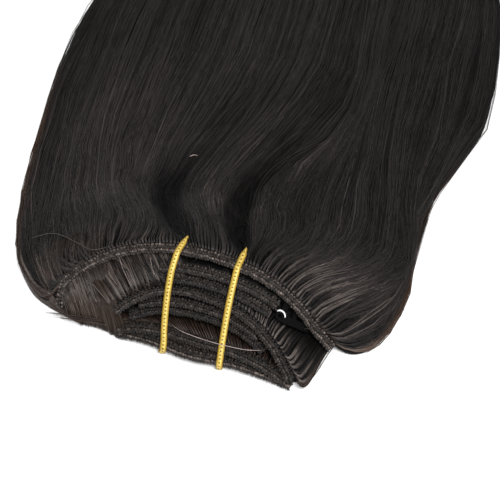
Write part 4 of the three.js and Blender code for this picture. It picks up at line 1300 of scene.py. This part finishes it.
class SheafColours(bpy.types.PropertyGroup):
    """The colours of the hair, the thread, the clips and the ties."""

    hair_dark: bpy.props.FloatVectorProperty(
        name="Dark Hair", description="Deepest tone of the hair",
        default=(0.0018, 0.0014, 0.0013), min=0, max=1, subtype="COLOR")
    hair_mid: bpy.props.FloatVectorProperty(
        name="Hair", description="Main tone of the hair",
        default=(0.0175, 0.015, 0.0144), min=0, max=1, subtype="COLOR")
    hair_light: bpy.props.FloatVectorProperty(
        name="Light Hair", description="Tone of the lightest strands",
        default=(0.035, 0.0292, 0.0272), min=0, max=1, subtype="COLOR")
    hair_sheen: bpy.props.FloatVectorProperty(
        name="Hair Sheen", description="Tone of the strands near the headers that catch the light",
        default=(0.13, 0.108, 0.096), min=0, max=1, subtype="COLOR")
    hair_edge: bpy.props.FloatVectorProperty(
        name="Thin Hair", description="Brown of thin hair that light comes through",
        default=(0.1, 0.05, 0.025), min=0, max=1, subtype="COLOR")
    thread: bpy.props.FloatVectorProperty(
        name="Thread", description="Sewing thread and bound hair",
        default=(0.03, 0.024, 0.021), min=0, max=1, subtype="COLOR")
    pale_fibre: bpy.props.FloatVectorProperty(
        name="Pale Fibre", description="Loose bright fibres and the thread's long end",
        default=(0.42, 0.33, 0.31), min=0, max=1, subtype="COLOR")
    clip_black: bpy.props.FloatVectorProperty(
        name="Clip", description="Coating of the snap clips",
        default=(0.0035, 0.0035, 0.0038), min=0, max=1, subtype="COLOR")
    # Painted highlight on the eyelets' rims.
    rim_highlight: bpy.props.FloatVectorProperty(
        name="Rim Highlight", description="Bright rim of a clip's eyelet",
        default=(0.8, 0.8, 0.8), min=0, max=1, subtype="COLOR")
    foil: bpy.props.FloatVectorProperty(
        name="Foil", description="Film of the twist ties",
        default=(0.5, 0.352, 0.05), min=0, max=1, subtype="COLOR")
    floor: bpy.props.FloatVectorProperty(
        name="Floor", description="Plain pale floor",
        default=(0.93, 0.93, 0.93), min=0, max=1, subtype="COLOR")


def the_sheaf():
    return Sheaf(bpy.context.scene.sheaf_sizes)


class SHEAF_OT_hair_sheets(bpy.types.Operator):
    """Each weft's hair as one closed sheet of locks"""

    bl_idname = "sheaf.hair_sheets"
    bl_label = "Hair Sheets"

    def execute(self, context):
        sheaf = the_sheaf()
        for k in range(len(WEFTS)):
            obj = sheet_mesh(sheaf, k, *(TOP_GRID if k == TOP else LOWER_GRID))
            finish_piece(obj, "hair", f"hair_{k + 1}")
        return {"FINISHED"}


class SHEAF_OT_top_strands(bpy.types.Operator):
    """The loose strands over the top weft's hair"""

    bl_idname = "sheaf.top_strands"
    bl_label = "Top Strands"

    def execute(self, context):
        sheaf = the_sheaf()
        width = context.scene.sheaf_sizes.strand_width * 1000
        near_runs, far_runs = np.linspace(0, 1, 9, endpoint=False) ** 1.3, 1 + np.linspace(0, 1, 11) ** 1.4
        long_runs = np.concatenate([near_runs, far_runs])
        short_runs = np.linspace(0, 1.12, 10) ** 1.3
        rng = np.random.default_rng(3)
        for name, parts, count, runs, lift in (
            ("top_strands", 3, 3900, long_runs, (-0.9, 0.5)),
            ("root_strands", 2, 3400, short_runs, (-1.2, 0.5)),
        ):
            u = np.sort(rng.uniform(-1, 1, count))
            for part in range(parts):
                chosen = u[part * count // parts:(part + 1) * count // parts]
                made = strands(sheaf, TOP, chosen, runs, 40 + 10 * parts + part, lift, width)
                paths, radius, tone, thin = made
                if name == "root_strands":
                    tucked = smooth(np.broadcast_to(runs, radius.shape), 0.75 * runs[-1], runs[-1])
                    paths[..., 2] -= 1.5 * tucked
                    paths[..., 2] = np.maximum(paths[..., 2], 0.3)
                finish_piece(strand_mesh(f"{name}_{part + 1}", paths, radius, tone, thin), "hair")
        return {"FINISHED"}


class SHEAF_OT_lower_strands(bpy.types.Operator):
    """The loose strands over the lower wefts' hair"""

    bl_idname = "sheaf.lower_strands"
    bl_label = "Lower Strands"

    def execute(self, context):
        sheaf = the_sheaf()
        width = context.scene.sheaf_sizes.strand_width * 1000
        runs = np.concatenate([np.linspace(0, 1, 8, endpoint=False) ** 1.4, [1, 1.4, 2]])
        short_runs = np.linspace(0, 0.6, 8)
        for k, count, short in ((0, 120, 250), (1, 120, 250), (WIDE_ARCH, 400, 1500)):
            rng = np.random.default_rng(100 + k)
            for name, number, steps in (("strands", count, runs), ("root_strands", short, short_runs)):
                u = np.sort(rng.uniform(-1, 1, number))
                if k == WIDE_ARCH and name == "root_strands":
                    u = np.sort(rng.uniform(0, 1, number))
                made = strands(sheaf, k, u, steps, 60 + k, (-0.8, 0.2), width)
                obj = strand_mesh(f"lower_{name}_{k + 1}", *made)
                finish_piece(obj, "hair")
        fringe = strand_mesh("left_fringe_strands", *fringe_strands(sheaf, 240, width, 23))
        finish_piece(fringe, "hair")
        for k in range(len(WEFTS)):
            fuzz = strand_mesh(f"header_fuzz_{k + 1}", *fuzz_strands(sheaf, k, width, 300 + k))
            finish_piece(fuzz, "hair")
        for name, make, count, seed in (
            ("left_foot_strands", foot_strands, 520, 27),
            ("left_lobe_strands", lobe_strands, 450, 29),
            ("left_fold_strands", fold_strands, 900, 25),
            ("left_panel_strands", panel_strands, 1700, 21),
        ):
            finish_piece(strand_mesh(name, *make(sheaf, count, width, seed)), "hair")
        return {"FINISHED"}


class SHEAF_OT_loose_hairs(bpy.types.Operator):
    """Single hairs that have come loose, and the sewing thread's long end"""

    bl_idname = "sheaf.loose_hairs"
    bl_label = "Loose Hairs"

    def execute(self, context):
        sheaf = the_sheaf()
        for name, plan, lift, width, kind, tone in (
            ("loose_hair_left", [(-108, 12), (-100, 16), (-89, 11), (-75, 2), (-63, -6), (-54, -3)],
             1.2, 0.28, "strand", 0.9),
            ("loose_hair_panel", [(-49, -6, 31), (-44, -14, 28.5), (-37, -22, 25)], 0.5, 0.28, "pale", 0.9),
            ("loose_hair_fold", [(-31, -8, 34), (-27, -15, 29)], 0.5, 0.25, "pale", 0.9),
            ("loose_hair_ridge", [(11, 30), (8, 52), (8, 70), (13, 84), (23, 99), (34, 110)],
             0.9, 0.4, "strand", 0.5),
            ("loose_hair_ridge_2", [(13, 34), (10, 52), (10, 72), (16, 86), (27, 100), (38, 112)],
             0.8, 0.3, "strand", 0.5),
            ("lint", [(-35, 77), (-33, 78.5), (-30.5, 78)], 0.8, 0.5, "pale", 0.9),
            ("thread_end", [(-12.4, -34.1, 17), (-7.6, -36.4, 16.5), (3.2, -38.1, 16), (12.6, -38.9, 15.5),
                            (26.2, -38.2, 14), (34, -35, 12)], 0, 0.4, "pale", 0.9),
        ):
            finish_piece(loose_hair(sheaf, name, plan, lift, width, kind, tone), "hair")
        return {"FINISHED"}


class SHEAF_OT_headers(bpy.types.Operator):
    """The sewn headers with their knots and stitches"""

    bl_idname = "sheaf.headers"
    bl_label = "Headers"

    def execute(self, context):
        sheaf, sizes = the_sheaf(), context.scene.sheaf_sizes
        w, h = sheaf.header_width / 2, sheaf.header_thickness / 2
        for k in range(len(WEFTS)):
            u = np.linspace(-1, 1, 161)
            points, along, up = header_frame(sheaf, k, u, 0.0, 0.0)
            if k == TOP:
                foot = foot_frame(sheaf, np.linspace(1, 0.06, 16), 0.0, 0.0)
                points, along, up = (np.vstack(pair) for pair in zip(foot, (points, along, up)))
            out = np.cross(up, along)
            section = [(-w * 0.9, 0), (-w * 0.8, -h * 0.8), (w * 0.8, -h * 0.8), (w * 0.95, 0),
                       (w * 0.8, h * 0.3), (w * 0.4, h * 0.35), (w * 0.2, 0), (-w * 0.2, 0),
                       (-w * 0.4, h * 0.3), (-w * 0.75, h * 0.3)]
            # The band's dark thread copy is partly painted shade between the knots.
            band = ribbon(f"header_band_{k + 1}", points, out, up, section, material_for("binding"))
            finish_piece(band, "header", f"header_{k + 1}")
            rows = [("root_knots", sizes.knot_pitch, w * 0.72, h * 0.5, (1.7, 1.5, 1.6), 0.5, 0.0),
                    ("middle_stitches", sizes.stitch_pitch, w * 0.1, h * 0.4, (1.9, 1.2, 1.1), 0.3, 0.3),
                    ("front_stitches", sizes.stitch_pitch, -w * 0.55, h * 0.5, (1.9, 1.3, 1.5), -0.3, 0.0),
                    ("edge_stitches", sizes.stitch_pitch, -w * 0.98, -h * 0.3, (1.6, 0.8, 1.4), -0.2, 0.5)]
            for row, (name, pitch, across, height, size, slant, shift) in enumerate(rows):
                places = even_places(sheaf, k, pitch * 1000, shift)
                knot_points, knot_along, knot_up = header_frame(sheaf, k, places, across, height)
                if k == TOP:
                    count = int(np.linalg.norm(FOOT_WAY) / (pitch * 1000))
                    foot = foot_frame(sheaf, (np.arange(count) + 0.5 + shift) / count, across, height)
                    knot_points, knot_along, knot_up = (
                        np.vstack(pair) for pair in zip((knot_points, knot_along, knot_up), foot))
                uneven = np.random.default_rng(10 * k + row).normal(0, 0.12, knot_points.shape)
                knot_points = knot_points + uneven
                used = material_for(ROW_TONES[k][row])
                obj = knots(f"{name}_{k + 1}", knot_points, knot_along, knot_up, size, slant, used)
                finish_piece(obj, "header")
        return {"FINISHED"}


class SHEAF_OT_ties(bpy.types.Operator):
    """The two golden twist ties, with a wire ridge and fine creases"""

    bl_idname = "sheaf.ties"
    bl_label = "Twist Ties"

    def execute(self, context):
        sheaf = the_sheaf()
        w, t = sheaf.tie_width * 0.42, sheaf.tie_thickness / 2
        for side, x in sheaf.ties.items():
            loop = sheaf.tie_loop(x)
            yz = loop[:, :2]
            steps = np.linalg.norm(np.diff(np.vstack([yz, yz[:1]]), axis=0), axis=1)
            run = np.concatenate([[0], np.cumsum(steps)])
            even = np.linspace(0, run[-1], 241)[:-1]
            closed = np.vstack([loop, loop[:1]])
            y, z, ny, nz = (np.interp(even, run, closed[:, i]) for i in range(4))
            share = np.clip((y - y.min()) / (y.max() - y.min()), 0, 1)
            bow, shift, lean, reach = TIE_SHAPE[side]
            over = smooth(z, 14, 22)
            sideways = shift * smooth(z, 0, 4) - bow * np.sin(math.pi * share) * smooth(z, 2, 12)
            sideways = sideways + lean * smooth(share, 0.7, 1) * over
            y = y + reach * smooth(share, 0.8, 1) * over
            points = np.stack([x + sideways, y, z], -1)
            normals = np.stack([np.zeros_like(y), ny, nz], -1)
            normals /= np.linalg.norm(normals, axis=-1, keepdims=True)
            sides = np.broadcast_to([1.0, 0, 0], points.shape)
            section = [(-w, -t * 0.4), (w, -t * 0.4), (w, t * 0.1), (w * 0.4, t * 0.15),
                       (w * 0.18, t * 0.75), (0, t), (-w * 0.18, t * 0.75), (-w * 0.4, t * 0.15),
                       (-w, t * 0.1)]
            narrow = 1 - 0.75 * smooth(y, y.max() - 6, y.max()) * over
            obj = ribbon(f"twist_tie_{side}", points, sides, normals, section, material_for("foil"), True,
                         narrow[:, None])
            corner = corner_vertices(obj)
            across = np.array([a / w for a, _ in section])[corner % len(section)]
            set_flow(obj, np.stack([across, even[corner // len(section)]], -1))
            finish_piece(obj, "tie", f"tie_{side}")
        return {"FINISHED"}


class SHEAF_OT_clips(bpy.types.Operator):
    """The snap clips under the headers"""

    bl_idname = "sheaf.clips"
    bl_label = "Snap Clips"

    def execute(self, context):
        sheaf = the_sheaf()
        for name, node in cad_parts.items():
            if name.startswith("clip"):
                node.data.materials.clear()
                node.data.materials.append(material_for("clip"))
        for k in range(len(WEFTS)):
            for end, x, slip, turn in sheaf.clip_places(k):
                matrix = sheaf.clip_matrix(k, x, slip, turn)
                for side, word in ((-1, "left"), (1, "right")):
                    rim_name = f"clip_{k + 1}{end}_rim_{word}"
                    rim = self.rim(sheaf, matrix, side, rim_name, 0, 2 * math.pi, RIM_TUBE, "clip")
                    finish_piece(rim, "clip")
                # A bright arc on one side of the eyelet's rim: a painted highlight.
                if slip > 0.5:
                    edge_name = f"clip_{k + 1}{end}_highlight_edge"
                    edge = self.rim(sheaf, matrix, -1, edge_name, 0.0, 2.5, HIGHLIGHT_TUBE, "rim")
                    finish_piece(edge, "clip")
        return {"FINISHED"}

    def rim(self, sheaf, matrix, side, name, start, stop, tube, kind):
        """The raised rim of an eyelet in a clip's own frame, all round it or along a part of it."""
        whole = stop - start > 6
        turns = np.linspace(start, stop, 41)[:-1] if whole else np.linspace(start, stop, 24)
        rounds = np.linspace(0, 2 * math.pi, 9)[:-1]
        radius = sheaf.clip_eyelet - tube if whole else sheaf.clip_eyelet + 0.1
        bulge = 0.25 + 0.75 * np.sin(math.pi * np.linspace(0, 1, len(turns))) ** 0.5
        swell = np.ones_like(turns) if whole else bulge
        a, b = np.meshgrid(turns, rounds, indexing="ij")
        reach = radius + tube * swell[:, None] * np.cos(b)
        centre_x = side * (sheaf.clip_width / 2 - sheaf.clip_eyelet)
        height = sheaf.clip_thickness + (0.1 if whole else 0.3)
        rise = height + tube * swell[:, None] * np.sin(b)
        points = np.stack([centre_x + reach * np.cos(a), reach * np.sin(a), rise], -1)
        points = np.array([list(matrix @ Vector(p)) for p in points.reshape(-1, 3)])
        n = len(turns)
        i, j = (v.ravel() for v in np.meshgrid(np.arange(n if whole else n - 1), np.arange(8), indexing="ij"))
        after, m = (i + 1) % n, (j + 1) % 8
        faces = [np.stack([i * 8 + j, after * 8 + j, after * 8 + m, i * 8 + m], -1)]
        if not whole:
            faces.append(np.array([list(range(8)), [(n - 1) * 8 + v for v in range(8)][::-1]]))
        return make_mesh(name, points, faces, material_for(kind))


class SHEAF_OT_stage(bpy.types.Operator):
    """A pale floor, soft light and the camera at the photograph's angle"""

    bl_idname = "sheaf.stage"
    bl_label = "Stage"

    def execute(self, context):
        scene = context.scene
        floor = bpy.data.meshes.new("floor")
        half, level = 4.0, -0.0005
        corners = [(-half, -half, level), (half, -half, level), (half, half, level), (-half, half, level)]
        floor.from_pydata(corners, [], [(0, 1, 2, 3)])
        material, _, _, shader = new_material("pale_floor")
        shader.inputs["Base Color"].default_value = (*context.scene.sheaf_colours.floor, 1)
        shader.inputs["Roughness"].default_value = 0.9
        shader.inputs["Specular IOR Level"].default_value = 0.1
        floor.materials.append(material)
        floor_object = bpy.data.objects.new("floor", floor)
        scene.collection.objects.link(floor_object)

        world = bpy.data.worlds.new("studio")
        world.use_nodes = True
        world.node_tree.nodes["Background"].inputs["Color"].default_value = (1, 1, 1, 1)
        world.node_tree.nodes["Background"].inputs["Strength"].default_value = 0.45
        scene.world = world
        for name, place, aim, size, power in (
            ("key", (0.45, -0.55, 1.15), (0, 0.1, 0), 0.8, 24),
            ("side", (-1.1, 0.5, 0.7), (0, 0.1, 0), 0.6, 2.5),
        ):
            light = bpy.data.lights.new(name, "AREA")
            light.size, light.energy = size, power
            lamp = bpy.data.objects.new(name, light)
            lamp.location = place
            lamp.rotation_euler = (Vector(aim) - Vector(place)).to_track_quat("-Z", "Y").to_euler()
            scene.collection.objects.link(lamp)

        lens = bpy.data.cameras.new("camera")
        lens.sensor_width, lens.lens = 36, 79.85
        camera = bpy.data.objects.new("camera", lens)
        camera.location = (0.1082, -0.3570, 0.4533)
        target = Vector((0.00945, 0.03902, 0))
        camera.rotation_euler = (target - Vector(camera.location)).to_track_quat("-Z", "Y").to_euler()
        scene.collection.objects.link(camera)
        scene.camera = camera
        scene.view_settings.view_transform = "Standard"
        return {"FINISHED"}


OPERATORS = (
    SHEAF_OT_hair_sheets,
    SHEAF_OT_top_strands,
    SHEAF_OT_lower_strands,
    SHEAF_OT_loose_hairs,
    SHEAF_OT_headers,
    SHEAF_OT_ties,
    SHEAF_OT_clips,
    SHEAF_OT_stage,
)


class SHEAF_PT_panel(bpy.types.Panel):
    """The steps that build the sheaf, with its sizes and colours"""

    bl_idname = "SHEAF_PT_panel"
    bl_label = "Hair Wefts"
    bl_space_type = "VIEW_3D"
    bl_region_type = "UI"
    bl_category = "Hair Wefts"

    def draw(self, context):
        layout = self.layout
        for operator in OPERATORS:
            layout.operator(operator.bl_idname)
        for group in (context.scene.sheaf_sizes, context.scene.sheaf_colours):
            box = layout.box()
            for key in group.bl_rna.properties.keys():
                if key not in ("rna_type", "name"):
                    box.prop(group, key)


CLASSES = (SheafSizes, SheafColours, *OPERATORS, SHEAF_PT_panel)


def register():
    for cls in CLASSES:
        bpy.utils.register_class(cls)
    bpy.types.Scene.sheaf_sizes = bpy.props.PointerProperty(type=SheafSizes)
    bpy.types.Scene.sheaf_colours = bpy.props.PointerProperty(type=SheafColours)


def unregister():
    del bpy.types.Scene.sheaf_colours
    del bpy.types.Scene.sheaf_sizes
    for cls in reversed(CLASSES):
        bpy.utils.unregister_class(cls)


def main():
    register()
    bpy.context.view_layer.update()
    for operator in OPERATORS:
        group, name = operator.bl_idname.split(".")
        getattr(getattr(bpy.ops, group), name)()


if __name__ == "__main__":
    main()
